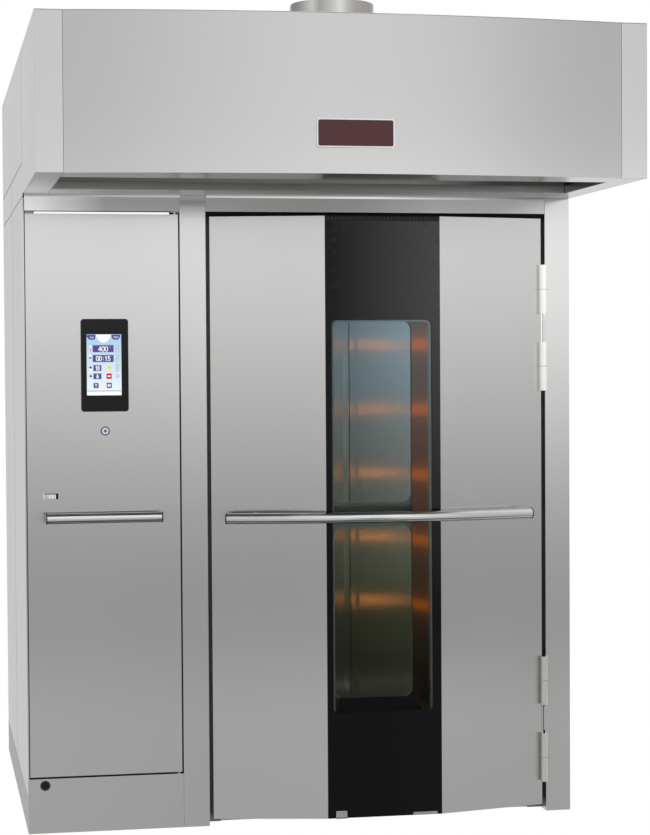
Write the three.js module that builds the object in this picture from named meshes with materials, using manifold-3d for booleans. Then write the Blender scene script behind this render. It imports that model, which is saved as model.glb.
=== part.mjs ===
// Rotating rack oven: a floor-standing bakery oven that a wheeled rack rolls into.
// Millimetres. While the pieces are made, X runs right from the cabinet's left side, Y runs back from the
// plane of its front posts, and Z runs up from the floor. The finished group is moved so that the origin
// is the middle of the footprint, on the floor.
import * as THREE from 'three';
import { mergeVertices } from 'three/addons/utils/BufferGeometryUtils.js';
import Module from 'manifold-3d';

// ---------------------------------------------------------------- clearances and sheet
const seat = 0.3; // between pieces that rest on or are fixed to each other
const seam = 0.8; // open line between neighbouring outer panels
const sheet = 2; // stainless sheet
const roundSides = 32; // facets of a large round
const smallSides = 20; // facets of a small round
const past = 1; // how far a cut runs past a face, or a joined part into its neighbour

// ---------------------------------------------------------------- cabinet
const bodyWidth = 1829;
const bodyDepth = 1575;
const bodyHeight = 2540;
const postWidth = 85;
const postDepth = 66;
const serviceWidth = 508; // machine compartment, left of the centre post
const facadeHeight = 2074; // posts and headers end here, under the hood
const headerDrop = 52;
const headerReturn = 20;
const kickHeight = 178;
const kickHole = { x: 55, z: 156, r: 14 };
const skirtHeight = 117;
const skirtRail = 60;
const skirtWall = 4;
const sideSplit = 780; // seam between the front and rear side panels
const edgeReturn = 5; // folded front edge of the side panel
const bandLow = 2066;
const bandHigh = 2174;

// ---------------------------------------------------------------- hood
const hoodReach = 800; // end strips, forward of the posts
const hoodBow = 64; // how far the front panel bulges past the end strips
const hoodEndWidth = 80;
const hoodEndReturn = 25;
const hoodLip = 145;
const hoodLipSlot = { left: 866, right: 1211, depth: 40, fromEdge: 6 };
const hoodLedge = 214;
const baffleLean = 186; // how far the baffle leans forward over its height
const collar = { r: 127, wall: 2, rise: 72, flange: 24, reach: 540 };
const hoodSteps = 24;

// ---------------------------------------------------------------- chamber
const wallRear = 100;
const ceilingHeight = 2030;
const ceilingThick = 100;
const floorThick = 8;
const jamb = { thick: 10, side: 46, top: 70, gap: 3.3 };
const duct = { depth: 50, front: 280, rear: 375, bottom: 150, drop: 80 };
const ductSlot = { width: 14, height: 240, columns: 5, rows: 5, margin: 90 };
const airPort = { width: 96, height: 100 };
const returnPort = { fromRear: 60, width: 300, bottom: 250, height: 300 };
const lamp = { width: 50, depth: 58, narrow: 32, bottom: 326, pitch: 297.5, count: 5, margin: 90 };
const lampSeat = { r: 12, fromFront: 16, recess: 6 };

// ---------------------------------------------------------------- rack lift and rotator
const rotor = { r: 25, collarR: 34, collarThick: 10, lift: 30, grip: 60, bore: 1 };
const yoke = { r: 60, height: 40 };
const ceilingBore = 35;
const gearbox = { width: 190, depth: 160, height: 120, cornerR: 24, motorR: 62, motorLength: 150, spare: 10 };
const bridge = { thick: 8, gap: 32 };
const carrier = { halfSpan: 300, beamHeight: 50, wall: 5, drop: 45 };
const carrierRail = { length: 520, width: 60, height: 100, hook: 20 };
const carrierHub = { r: 60, height: 70 };

// ---------------------------------------------------------------- machine compartment
const exchanger = { side: 18, depth: 770.7, rearGap: 2, height: 1380, inlet: 165 };
const exchangerRibs = { count: 7, depth: 24, width: 22, low: 545 };
const burner = { width: 260, height: 300, depth: 190, lift: 190, cornerR: 14, tubeR: 55, tubeLength: 120 };
const controls = { depth: 150, front: 120, width: 420, bottom: 1120, height: 760 };
const controlsLid = { lap: 6, thick: 12, cornerR: 12 };
const wheel = { r: 130, height: 90, plate: 3, blades: 14, bladeInner: 78, bladeThick: 3 };
const bladeSweep = { even: 0.372, growing: 0.248, steps: 4, edge: 1 }; // radians from root to tip
const wheelHub = { r: 24, height: 52, shaftR: 8, shaftRise: 60 };
const volute = { start: 144, growth: 82, wall: 2.5, headroom: 8, shaftRoom: 2, steps: 36 };
const motor = { r: 82, height: 210, footR: 104, footThick: 8, shaftRoom: 0.5, endRoom: 2 };
const motorFins = { edges: 36, depth: 7 };

// ---------------------------------------------------------------- main door
const doorGap = 13; // to each post, filled on the right by the hinge leaves
const doorRightGap = 14;
const doorGlassRoom = 2; // on each side of the outer glass, in the core
const doorBottom = 23;
const doorTop = 2006;
const doorBay = 80; // the glazed middle stands this far forward
const doorFacet = 369; // width of each steel facet, seen from the front
const doorBack = 56;
const doorSkin = 1.5;
const glassThick = 5;
const vent = { height: 15, holeR: 2.6, sides: 6, holes: 30, margin: 12 };
const tunnel = { left: 998, right: 1330, low: 357, high: 1665, r: 20 };
const window = { left: 1025, right: 1291, low: 400, railLow: 975, railHigh: 1056, high: 1664, r: 30 };
const pane = { lap: 14, thick: 5 };
const linerInset = 6;
const gasket = { inset: 9, width: 20, clearance: 0.3, bottomLift: 3, topDrop: 15, sweepHeight: 14 };

// ---------------------------------------------------------------- handles
const doorBar = { fromLeft: 38, fromRight: 60, r: 18, z: 1020, endY: -80, bow: 70, steps: 26 };
const doorPost = { fromEdge: 141, r: 9, footR: 15, footThick: 4 };
const accessBar = { left: 64, right: 438, r: 17, z: 1028, y: -50 };
const accessPost = { inset: 22, r: 8, footR: 13, footThick: 3 };

// ---------------------------------------------------------------- hinges of the main door
const hingeAxis = { fromPost: 10, forward: 16 };
const knuckle = { r: 13, height: 82, gap: 1, webRoot: 2, pinR: 5, pinBore: 0.4, pinLength: 52, pinRoom: 1 };
const leaf = { thick: 3.2, depth: 45, standoff: 2.5 };
const jointHeight = { upperHigh: 1768, upperLow: 1509.5, lowerHigh: 447, lowerLow: 186 };
const hingePairs = [
  { name: 'upper', high: jointHeight.upperHigh, low: jointHeight.upperLow },
  { name: 'lower', high: jointHeight.lowerHigh, low: jointHeight.lowerLow },
];

// ---------------------------------------------------------------- access door
const accessLeft = 5.8;
const accessBottom = 184;
const accessTop = 2012;
const accessGap = 5; // to the centre post
const accessDepth = 28;
const accessPivot = { fromEdge: 10, y: 8, r: 4, bore: 0.4, reach: 7 };
const pivotPlate = { width: 30, thick: 3, depth: 20 };
const bezel = { left: 183, right: 337, low: 1371, high: 1672, r: 10, proud: 4 };
const display = { left: 202, right: 314, low: 1424, high: 1622, recess: 1, depth: 18 };
const button = { x: 260, z: 1308, ringR: 15, r: 10.7, bore: 0.5, proud: 3, capProud: 2.7, depth: 12 };
const buttonHead = { lap: 2, thick: 2 };
const latch = { left: 57, right: 106, low: 1089, high: 1105, travel: 8, lip: 9, lipThick: 3, flush: 0.6 };

// ---------------------------------------------------------------- derived places
const chamberLeft = serviceWidth + postWidth;
const rightPost = bodyWidth - postWidth;
const chamberMiddle = (chamberLeft + rightPost) / 2;
const doorLeft = chamberLeft + doorGap;
const doorRight = rightPost - doorRightGap;
const bayLeft = doorLeft + doorFacet;
const bayRight = doorRight - doorFacet;
const wallFront = postDepth + seat;
const backInner = bodyDepth - sheet - seat;
const chamberRear = backInner - wallRear;
const hoodFront = -(hoodReach + hoodBow);
const skinTop = bodyHeight - sheet - seat;
const jambFront = postDepth + jamb.gap;
const chamberFront = jambFront + jamb.thick;
const turnY = (chamberFront + chamberRear) / 2;
const ceilingTop = ceilingHeight + seat + ceilingThick;
const ceilingUnder = ceilingHeight + seat;
const linerBack = doorBack + seat + sheet;
const hinge = { x: rightPost - hingeAxis.fromPost, y: -hingeAxis.forward };
const accessAxis = { x: serviceWidth - accessGap - accessPivot.fromEdge, y: accessPivot.y };
const behindSides = [sheet + seat, bodyWidth - sheet - seat];
const exchangerFront = chamberRear - exchanger.rearGap - exchanger.depth;

// ---------------------------------------------------------------- joins and cuts
const wasm = await Module();
wasm.setup();

/** Turns a closed geometry into a solid that can be joined and cut. */
function toSolid(geometry) {
  const bare = geometry.clone();
  bare.deleteAttribute('normal');
  bare.deleteAttribute('uv');
  const merged = mergeVertices(bare, 1e-4);
  const corners = merged.index.array;
  const kept = [];
  for (let i = 0; i < corners.length; i += 3) {
    const [a, b, c] = [corners[i], corners[i + 1], corners[i + 2]];
    if (a !== b && b !== c && c !== a) kept.push(a, b, c);
  }
  return new wasm.Manifold(new wasm.Mesh({
    numProp: 3,
    vertProperties: new Float32Array(merged.attributes.position.array),
    triVerts: new Uint32Array(kept),
  }));
}

/** Turns a solid back into a geometry that a mesh can hold. */
function toGeometry(solid) {
  const mesh = solid.getMesh();
  const geometry = new THREE.BufferGeometry();
  geometry.setAttribute('position', new THREE.BufferAttribute(new Float32Array(mesh.vertProperties), 3));
  geometry.setIndex(new THREE.BufferAttribute(new Uint32Array(mesh.triVerts), 1));
  geometry.computeVertexNormals();
  return geometry;
}

const around = (middle, half) => [middle - half, middle + half];
const through = ([low, high]) => [low - past, high + past];
const join = (first, ...others) => others.reduce((sum, next) => sum.add(next), first);
const cut = (body, ...tools) => tools.reduce((rest, tool) => rest.subtract(tool), body);

// ---------------------------------------------------------------- shapes
/** Box between two values on each axis. */
function slab([x0, x1], [y0, y1], [z0, z1]) {
  const geometry = new THREE.BoxGeometry(x1 - x0, y1 - y0, z1 - z0);
  return toSolid(geometry.translate((x0 + x1) / 2, (y0 + y1) / 2, (z0 + z1) / 2));
}

/** Closed outline through [u, v] points. */
function outline(points) {
  const area = points.reduce((sum, [u, v], i) => {
    const [nextU, nextV] = points[(i + 1) % points.length];
    return sum + u * nextV - nextU * v;
  }, 0);
  const ordered = area < 0 ? [...points].reverse() : points;
  return new THREE.Shape(ordered.map(([u, v]) => new THREE.Vector2(u, v)));
}

/** Rectangle with round corners. */
function roundedRectangle([u0, u1], [v0, v1], r) {
  const shape = new THREE.Shape();
  shape.moveTo(u0 + r, v0);
  shape.lineTo(u1 - r, v0);
  shape.absarc(u1 - r, v0 + r, r, -Math.PI / 2, 0, false);
  shape.lineTo(u1, v1 - r);
  shape.absarc(u1 - r, v1 - r, r, 0, Math.PI / 2, false);
  shape.lineTo(u0 + r, v1);
  shape.absarc(u0 + r, v1 - r, r, Math.PI / 2, Math.PI, false);
  shape.lineTo(u0, v0 + r);
  shape.absarc(u0 + r, v0 + r, r, Math.PI, 1.5 * Math.PI, false);
  return shape;
}

const cornerSteps = 5;
const extruded = (shape, depth) => (
  new THREE.ExtrudeGeometry(shape, { depth, bevelEnabled: false, curveSegments: cornerSteps })
);

/** Outline in X and Y, raised from z0 to z1. */
function prismZ(shape, [z0, z1]) {
  return toSolid(extruded(shape, z1 - z0).translate(0, 0, z0));
}

/** Outline in Y and Z, run from x0 to x1. */
function prismX(shape, [x0, x1]) {
  const turn = new THREE.Matrix4().makeBasis(
    new THREE.Vector3(0, 1, 0), new THREE.Vector3(0, 0, 1), new THREE.Vector3(1, 0, 0));
  return toSolid(extruded(shape, x1 - x0).applyMatrix4(turn).translate(x0, 0, 0));
}

/** Outline in X and Z, run from y0 to y1. */
function prismY(shape, [y0, y1]) {
  const turn = new THREE.Matrix4().makeBasis(
    new THREE.Vector3(1, 0, 0), new THREE.Vector3(0, 0, 1), new THREE.Vector3(0, -1, 0));
  return toSolid(extruded(shape, y1 - y0).applyMatrix4(turn).translate(0, y1, 0));
}

/** Upright round bar. */
function rodZ(x, y, r, [z0, z1], sides = smallSides) {
  const geometry = new THREE.CylinderGeometry(r, r, z1 - z0, sides).rotateX(Math.PI / 2);
  return toSolid(geometry.translate(x, y, (z0 + z1) / 2));
}

/** Round bar that points at the room. */
function rodY(x, z, r, [y0, y1], sides = smallSides) {
  const geometry = new THREE.CylinderGeometry(r, r, y1 - y0, sides);
  return toSolid(geometry.translate(x, (y0 + y1) / 2, z));
}

/** Round bar from left to right. */
function rodX(y, z, r, [x0, x1], sides = smallSides) {
  const geometry = new THREE.CylinderGeometry(r, r, x1 - x0, sides).rotateZ(Math.PI / 2);
  return toSolid(geometry.translate((x0 + x1) / 2, y, z));
}

/** Plan points of an arc from (x0, y) to (x1, y) that bulges towards the room by rise. */
function bowPoints(x0, x1, y, rise, steps) {
  return Array.from({ length: steps + 1 }, (_, i) => {
    const x = x0 + ((x1 - x0) * i) / steps;
    return [x, bowY(x0, x1, y, rise, x)];
  });
}

/** Where such an arc is at x. */
function bowY(x0, x1, y, rise, x) {
  const half = (x1 - x0) / 2;
  const radius = (half * half + rise * rise) / (2 * rise);
  return y - rise + radius - Math.sqrt(radius * radius - (x - x0 - half) ** 2);
}

/** Open polyline moved sideways by distance, to the left of its direction, with mitred corners. */
function offsetLine(points, distance) {
  const directions = points.slice(1).map(([x, y], i) => {
    const [dx, dy] = [x - points[i][0], y - points[i][1]];
    const length = Math.hypot(dx, dy);
    return [dx / length, dy / length];
  });
  return points.map(([x, y], i) => {
    const before = directions[Math.max(i - 1, 0)];
    const after = directions[Math.min(i, directions.length - 1)];
    const [nx, ny] = [-(before[1] + after[1]), before[0] + after[0]];
    const scale = (2 * distance) / (nx * nx + ny * ny);
    return [x + nx * scale, y + ny * scale];
  });
}

/** Strip of sheet that follows a plan polyline, thickening to its left. */
function foldedSheet(points, thickness, zRange) {
  return prismZ(outline([...points, ...offsetLine(points, thickness).reverse()]), zRange);
}

// ---------------------------------------------------------------- finishes
const finish = (color, roughness, metalness) => (
  () => new THREE.MeshStandardMaterial({ color, roughness, metalness })
);
const stainless = finish(0xb9b8b5, 0.34, 0.9);
const brightStainless = finish(0xc9c9c6, 0.25, 1);
const linerSteel = finish(0x8d9490, 0.3, 0.9);
const galvanised = finish(0x8f9496, 0.55, 0.7);
const blackGlass = finish(0x0c0d0f, 0.08, 0.1);
const clearGlass = finish(0x9fb0b4, 0.05, 0);
const blackPlastic = finish(0x151515, 0.5, 0);
const rubber = finish(0x1b1b1b, 0.85, 0);
const motorPaint = finish(0x4a5560, 0.55, 0.3);
const screenGlass = finish(0xdfe6f2, 0.15, 0);
const lamplit = finish(0xbfe0ff, 0.3, 0);

const oven = new THREE.Group();

/** Adds one named piece to the oven. */
function add(name, solid, material) {
  const mesh = new THREE.Mesh(toGeometry(solid), material());
  mesh.name = name;
  oven.add(mesh);
}

// ---------------------------------------------------------------- cabinet shell
/** Plinth of channel rails, open underneath, and open at the front where the rack rolls in. */
function baseFrame() {
  const rails = (inset, z) => {
    const rear = [chamberRear + inset, bodyDepth - inset];
    return join(
      slab([inset, skirtRail - inset], [sheet + seat + inset, rear[1]], z),
      slab([inset, serviceWidth - seat - inset], [sheet + seat + inset, sheet + seat + skirtRail - inset], z),
      slab([serviceWidth + inset, chamberLeft - inset], [wallFront + inset, rear[1]], z),
      slab([rightPost + inset, bodyWidth - inset], [wallFront + inset, rear[1]], z),
      slab([inset, bodyWidth - inset], rear, z));
  };
  return cut(rails(0, [0, skirtHeight]), rails(skirtWall, [-past, skirtHeight - skirtWall]));
}

/** Hollow post of folded sheet, open at the back. */
function post(left) {
  const right = left + postWidth;
  const shell = slab([left, right], [0, postDepth], [0, facadeHeight]);
  const hollowX = [left + sheet, right - sheet];
  return cut(shell, slab(hollowX, [sheet, postDepth + past], through([0, facadeHeight])));
}

/** Fascia between two posts: a channel with its open side to the rear. */
function header(x) {
  const [low, high] = [facadeHeight - headerDrop, facadeHeight];
  const channel = [
    [0, low], [headerReturn, low], [headerReturn, low + sheet], [sheet, low + sheet],
    [sheet, high - sheet], [headerReturn, high - sheet], [headerReturn, high], [0, high],
  ];
  return prismX(outline(channel), x);
}

function leftFrontPanel() {
  const [bottom, top] = [skirtHeight + seat, bandLow - seam / 2];
  const skin = slab([0, sheet], [0, sideSplit - seam / 2], [bottom, top]);
  const frontEdge = slab([0, edgeReturn], [0, sheet], [bottom, top]);
  const rear = sideSplit - seam / 2;
  const rearEdge = slab([0, headerReturn], [rear - sheet, rear], [bottom, top]);
  const kickRoom = slab(through([0, edgeReturn]), [-past, sheet + seat], [0, kickHeight + seat]);
  return cut(join(skin, frontEdge, rearEdge), kickRoom);
}

function kickPanel() {
  const face = slab([0, serviceWidth - seat], [0, sheet], [0, kickHeight]);
  const lip = slab([edgeReturn, serviceWidth - seat], [0, skirtRail], [kickHeight - sheet, kickHeight]);
  const pivotZ = [kickHeight - sheet, accessBottom + accessPivot.reach];
  const pivot = rodZ(accessAxis.x, accessAxis.y, accessPivot.r, pivotZ);
  const hole = rodY(kickHole.x, kickHole.z, kickHole.r, through([0, sheet]));
  return join(cut(face, hole), lip, pivot);
}

/** Folded band round the cabinet's two sides and rear, between the panels and the casing above. */
function waistBand() {
  const z = [bandLow + seam / 2, bandHigh - seam / 2];
  const path = [[bodyWidth, wallFront], [bodyWidth, bodyDepth], [0, bodyDepth], [0, sheet + seat]];
  return foldedSheet(path, sheet, z);
}

/** Upper casing: four walls that the roof closes, with the front one behind the hood. */
function casingWall() {
  const z = [bandHigh + seam / 2, skinTop];
  const outer = slab([0, bodyWidth], [0, bodyDepth], z);
  const ring = cut(outer, slab([sheet, bodyWidth - sheet], [sheet, bodyDepth - sheet], through(z)));
  const apron = slab(behindSides, [0, sheet], [facadeHeight + seat, z[0] + past]);
  return join(ring, apron);
}

function buildCabinet() {
  const panel = [skirtHeight + seat, bandLow - seam / 2];
  const rearStart = sideSplit + seam / 2;
  add('base_frame', baseFrame(), galvanised);
  add('kick_panel', kickPanel(), stainless);
  add('left_side_panel_front', leftFrontPanel(), stainless);
  add('left_side_panel_rear', slab([0, sheet], [rearStart, bodyDepth], panel), stainless);
  add('right_side_panel', slab([bodyWidth - sheet, bodyWidth], [wallFront, bodyDepth], panel), stainless);
  add('back_panel', slab(behindSides, [bodyDepth - sheet, bodyDepth], panel), stainless);
  add('waist_band', waistBand(), stainless);
  add('casing_wall', casingWall(), stainless);
  add('casing_roof', slab([0, bodyWidth], [seat, bodyDepth], [bodyHeight - sheet, bodyHeight]), stainless);
  add('centre_post', post(serviceWidth), stainless);
  add('right_post', post(rightPost), stainless);
  add('header_left', header([edgeReturn + seam, serviceWidth - seat]), stainless);
  add('header_right', header([chamberLeft + seat, rightPost - seat]), stainless);
  add('access_pivot_bracket', pivotBracket(), brightStainless);
}

/** Top pivot of the access door: a plate under the header with a pin that points down. */
function pivotBracket() {
  const top = facadeHeight - headerDrop - seat;
  const x = [serviceWidth - seat - pivotPlate.width, serviceWidth - seat];
  const plate = slab(x, [seat, pivotPlate.depth], [top - pivotPlate.thick, top]);
  const pinZ = [accessTop - accessPivot.reach, top - past];
  return join(plate, rodZ(accessAxis.x, accessAxis.y, accessPivot.r, pinZ));
}

// ---------------------------------------------------------------- hood
const hoodLow = facadeHeight;
const hoodInner = [hoodEndWidth + seam, bodyWidth - hoodEndWidth - seam];

/** Bowed front panel with the lip folded in along its lower edge. */
function hoodFrontPanel() {
  const face = bowPoints(...hoodInner, -hoodReach, hoodBow, hoodSteps);
  const lipEdge = -hoodReach + hoodLip;
  const lipPlan = [...face, [hoodInner[1], lipEdge], [hoodInner[0], lipEdge]];
  const slotRear = lipEdge - hoodLipSlot.fromEdge;
  const lipZ = [hoodLow, hoodLow + sheet];
  const lip = prismZ(outline(lipPlan), lipZ);
  const slotX = [hoodLipSlot.left, hoodLipSlot.right];
  const slot = slab(slotX, [slotRear - hoodLipSlot.depth, slotRear], through(lipZ));
  return join(foldedSheet(face, sheet, [hoodLow, skinTop]), cut(lip, slot));
}

/** End of the hood: outer side, front strip, bottom flange and a short inner return. */
function hoodEnd(outerX, inward) {
  const across = (a, b) => [outerX + inward * a, outerX + inward * b].sort((p, q) => p - q);
  const y = [-hoodReach, -seat];
  const side = slab(across(0, sheet), y, [hoodLow, skinTop]);
  const strip = slab(across(0, hoodEndWidth), [-hoodReach, -hoodReach + sheet], [hoodLow, skinTop]);
  const flange = slab(across(0, hoodEndWidth), y, [hoodLow, hoodLow + sheet]);
  const inner = slab(across(hoodEndWidth - sheet, hoodEndWidth), y, [hoodLow, hoodLow + hoodEndReturn]);
  return join(side, strip, flange, inner);
}

/** Top plate of the hood, bowed along its front edge, with the hole for the collar. */
function hoodRoof() {
  const front = bowPoints(...hoodInner, -hoodReach, hoodBow, hoodSteps);
  const plan = [[0, -hoodReach], ...front, [bodyWidth, -hoodReach], [bodyWidth, 0], [0, 0]];
  const z = [bodyHeight - sheet, bodyHeight];
  const plate = prismZ(outline(plan), z);
  const hole = rodZ(bodyWidth / 2, -collar.reach, collar.r + seat, through(z), roundSides);
  return cut(plate, hole);
}

/** Round spigot that the flue slides onto, with a flange that sits on the hood's roof. */
function exhaustCollar() {
  const low = bodyHeight - sheet - collar.flange / 2;
  const inner = collar.r - collar.wall;
  const seatZ = bodyHeight + seat;
  const profile = [
    [inner, low], [collar.r, low], [collar.r, seatZ], [collar.r + collar.flange, seatZ],
    [collar.r + collar.flange, seatZ + sheet], [collar.r, seatZ + sheet],
    [collar.r, bodyHeight + collar.rise], [inner, bodyHeight + collar.rise], [inner, low],
  ].map(([r, z]) => new THREE.Vector2(r, z));
  const ring = new THREE.LatheGeometry(profile, roundSides).rotateX(Math.PI / 2);
  return toSolid(ring.translate(bodyWidth / 2, -collar.reach, 0));
}

/** Sloping sheet that leads the vapour from the rear ledge up to the collar. */
function hoodBaffle() {
  const [y0, y1] = [-hoodLedge, -hoodLedge - baffleLean];
  const profile = [
    [y0, hoodLow + hoodEndReturn + seat], [y1, skinTop - seat], [y1 + sheet, skinTop - seat],
    [y0 + sheet, hoodLow + hoodEndReturn + seat],
  ];
  return prismX(outline(profile), hoodInner);
}

function hoodLedgePlate() {
  const plate = slab(hoodInner, [-hoodLedge, -seat], [hoodLow, hoodLow + sheet]);
  return join(plate, slab(hoodInner, [-hoodLedge, -hoodLedge + sheet], [hoodLow, hoodLow + hoodEndReturn]));
}

function buildHood() {
  add('hood_front_panel', hoodFrontPanel(), stainless);
  add('hood_end_left', hoodEnd(0, 1), stainless);
  add('hood_end_right', hoodEnd(bodyWidth, -1), stainless);
  add('hood_roof', hoodRoof(), stainless);
  add('hood_ledge', hoodLedgePlate(), stainless);
  add('hood_baffle', hoodBaffle(), stainless);
  add('exhaust_collar', exhaustCollar(), brightStainless);
}

// ---------------------------------------------------------------- chamber
const wallZ = [skirtHeight + seat, ceilingHeight];
const portZ = blowerFloor() + volute.wall;

/** Height of the heat exchanger's top, which the blower stands on. */
function blowerFloor() {
  return skirtHeight + seat + exchanger.height + seat;
}

function chamberLeftWall() {
  const wall = slab([serviceWidth + seat, chamberLeft - seat], [wallFront, chamberRear - seat], wallZ);
  const portX = through([serviceWidth, chamberLeft]);
  const supply = slab(portX, outletY().inner, [portZ, portZ + airPort.height]);
  const rear = chamberRear - returnPort.fromRear;
  const returnZ = [returnPort.bottom, returnPort.bottom + returnPort.height];
  const back = slab(portX, [rear - returnPort.width, rear], returnZ);
  return cut(wall, supply, back);
}

/** Slotted air duct on the chamber's left wall: a box open to the wall behind it. */
function supplyDuct() {
  const x = [chamberLeft, chamberLeft + duct.depth];
  const y = [chamberFront + duct.front, chamberRear - duct.rear];
  const z = [duct.bottom, ceilingHeight - duct.drop];
  const hollow = slab(
    [x[0] - past, x[1] - sheet],
    [y[0] + sheet, y[1] - sheet],
    [z[0] + sheet, z[1] - sheet]);
  const slots = [];
  const stepY = (y[1] - y[0] - 2 * ductSlot.margin) / (ductSlot.columns - 1);
  const stepZ = (z[1] - z[0] - 2 * ductSlot.margin - ductSlot.height) / (ductSlot.rows - 1);
  for (let column = 0; column < ductSlot.columns; column += 1) {
    for (let row = 0; row < ductSlot.rows; row += 1) {
      const midY = y[0] + ductSlot.margin + column * stepY;
      const lowZ = z[0] + ductSlot.margin + row * stepZ;
      const slotX = through([x[1] - sheet, x[1]]);
      slots.push(slab(slotX, around(midY, ductSlot.width / 2), [lowZ, lowZ + ductSlot.height]));
    }
  }
  return cut(slab(x, y, z), hollow, ...slots);
}

/** Stop that the closed door's gasket meets: two sides and a top, with no sill. */
function doorJamb() {
  const [left, right] = [chamberLeft + seat, rightPost - seat];
  const head = ceilingHeight - jamb.top;
  const arch = [
    [left, 0], [left + jamb.side, 0], [left + jamb.side, head],
    [right - jamb.side, head], [right - jamb.side, 0], [right, 0],
    [right, ceilingHeight], [left, ceilingHeight],
  ];
  return prismY(outline(arch), [jambFront, chamberFront]);
}

/** Upright lamp housing inside the chamber's front right corner, with a round seat for each lens. */
function lampColumn() {
  const right = rightPost - seat;
  const z = [lamp.bottom, lamp.bottom + 2 * lamp.margin + (lamp.count - 1) * lamp.pitch];
  const y = chamberFront + seat;
  const left = right - lamp.width;
  const plan = [[right, y], [right, y + lamp.depth], [left, y + lamp.narrow], [left, y]];
  const column = prismZ(outline(plan), z);
  const seatX = [left - past, left + lampSeat.recess];
  const seats = Array.from({ length: lamp.count }, (_, i) => rodX(
    y + lampSeat.fromFront, z[0] + lamp.margin + i * lamp.pitch, lampSeat.r, seatX));
  return cut(column, ...seats);
}

function buildChamber() {
  const [left, right] = [chamberLeft + seat, rightPost - seat];
  const outerRight = bodyWidth - sheet - seat;
  const full = [serviceWidth + seat, outerRight];
  const wallY = [wallFront, chamberRear - seat];
  const ceilingZ = [ceilingUnder, ceilingTop];
  const ceiling = slab(full, [wallFront, backInner], ceilingZ);
  const shaftHole = rodZ(chamberMiddle, turnY, ceilingBore, through(ceilingZ));
  const floor = slab([left, right], [chamberFront + seat, chamberRear - seat], [0, floorThick]);
  add('chamber_left_wall', chamberLeftWall(), linerSteel);
  add('chamber_right_wall', slab([rightPost + seat, outerRight], wallY, wallZ), linerSteel);
  add('chamber_back_wall', slab(full, [chamberRear, backInner], wallZ), linerSteel);
  add('chamber_ceiling', cut(ceiling, shaftHole), linerSteel);
  add('chamber_floor', floor, linerSteel);
  add('door_jamb', doorJamb(), linerSteel);
  add('supply_duct', supplyDuct(), linerSteel);
  add('lamp_column', lampColumn(), linerSteel);
}

// ---------------------------------------------------------------- rack lift and rotator
const yokeTop = ceilingTop + seat + yoke.height;
const bridgeTop = yokeTop + rotor.collarThick + rotor.lift + bridge.gap;

/** Geared motor on a bridge over the lift, with a bore that the shaft slides up into. */
function rotatorGearmotor() {
  const x = around(chamberMiddle, gearbox.width / 2);
  const y = around(turnY, gearbox.depth / 2);
  const legs = x.map((middle) => slab(around(middle, bridge.thick / 2), y, [ceilingTop + seat, bridgeTop]));
  const deckX = around(chamberMiddle, (gearbox.width + bridge.thick) / 2);
  const deck = slab(deckX, y, [bridgeTop - bridge.thick, bridgeTop]);
  const boxZ = [bridgeTop - past, bridgeTop + gearbox.height];
  const box = prismZ(roundedRectangle(x, y, gearbox.cornerR), boxZ);
  const driveX = [x[1] - past, x[1] + gearbox.motorLength];
  const drive = rodX(turnY, bridgeTop + gearbox.height / 2, gearbox.motorR, driveX, roundSides);
  const boreZ = [bridgeTop - bridge.thick - past, bridgeTop + rotor.grip + rotor.lift];
  const bore = rodZ(chamberMiddle, turnY, rotor.r + rotor.bore, boreZ, roundSides);
  return cut(join(...legs, deck, box, drive), bore);
}

function liftYoke() {
  const z = [ceilingTop + seat, yokeTop];
  const block = rodZ(chamberMiddle, turnY, yoke.r, z, roundSides);
  const guideZ = [ceilingUnder + rotor.bore, z[0] + past];
  const guide = rodZ(chamberMiddle, turnY, ceilingBore - rotor.bore, guideZ, roundSides);
  const boreZ = [ceilingUnder - past, z[1] + past];
  const bore = rodZ(chamberMiddle, turnY, rotor.r + rotor.bore, boreZ, roundSides);
  return cut(join(block, guide), bore);
}

const carrierTop = ceilingUnder - carrier.drop;

function rotatorShaft() {
  const barZ = [carrierTop - carrierHub.height / 2, bridgeTop + rotor.grip - gearbox.spare];
  const bar = rodZ(chamberMiddle, turnY, rotor.r, barZ, roundSides);
  const collarZ = [yokeTop + seat, yokeTop + rotor.collarThick];
  return join(bar, rodZ(chamberMiddle, turnY, rotor.collarR, collarZ, roundSides));
}

/** Carrier that picks the rack up by its top: a cross beam with a hooked rail at each end. */
function rackCarrier() {
  const hubZ = [carrierTop - carrierHub.height, carrierTop];
  const hub = rodZ(chamberMiddle, turnY, carrierHub.r, hubZ, roundSides);
  const beamZ = [carrierTop - carrier.beamHeight, carrierTop - carrier.wall];
  const beam = slab(around(chamberMiddle, carrier.halfSpan), around(turnY, carrierRail.width / 2), beamZ);
  const rails = [-1, 1].map((side) => {
    const at = (u) => chamberMiddle + side * (carrier.halfSpan + u);
    const [low, high] = [carrierTop - carrierRail.height, carrierTop];
    const inner = carrier.wall - carrierRail.width;
    const section = [
      [at(0), high], [at(0), low + carrier.wall], [at(inner), low + carrier.wall],
      [at(inner), low + carrierRail.hook], [at(-carrierRail.width), low + carrierRail.hook],
      [at(-carrierRail.width), low], [at(carrier.wall), low], [at(carrier.wall), high],
    ];
    return prismY(outline(section), around(turnY, carrierRail.length / 2));
  });
  const bore = rodZ(chamberMiddle, turnY, rotor.r + seat, through(hubZ), roundSides);
  return cut(join(hub, beam, ...rails), bore);
}

function buildRotator() {
  add('rotator_gearmotor', rotatorGearmotor(), motorPaint);
  add('lift_yoke', liftYoke(), galvanised);
  add('rotator_shaft', rotatorShaft(), brightStainless);
  add('rack_carrier', rackCarrier(), linerSteel);
}

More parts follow.
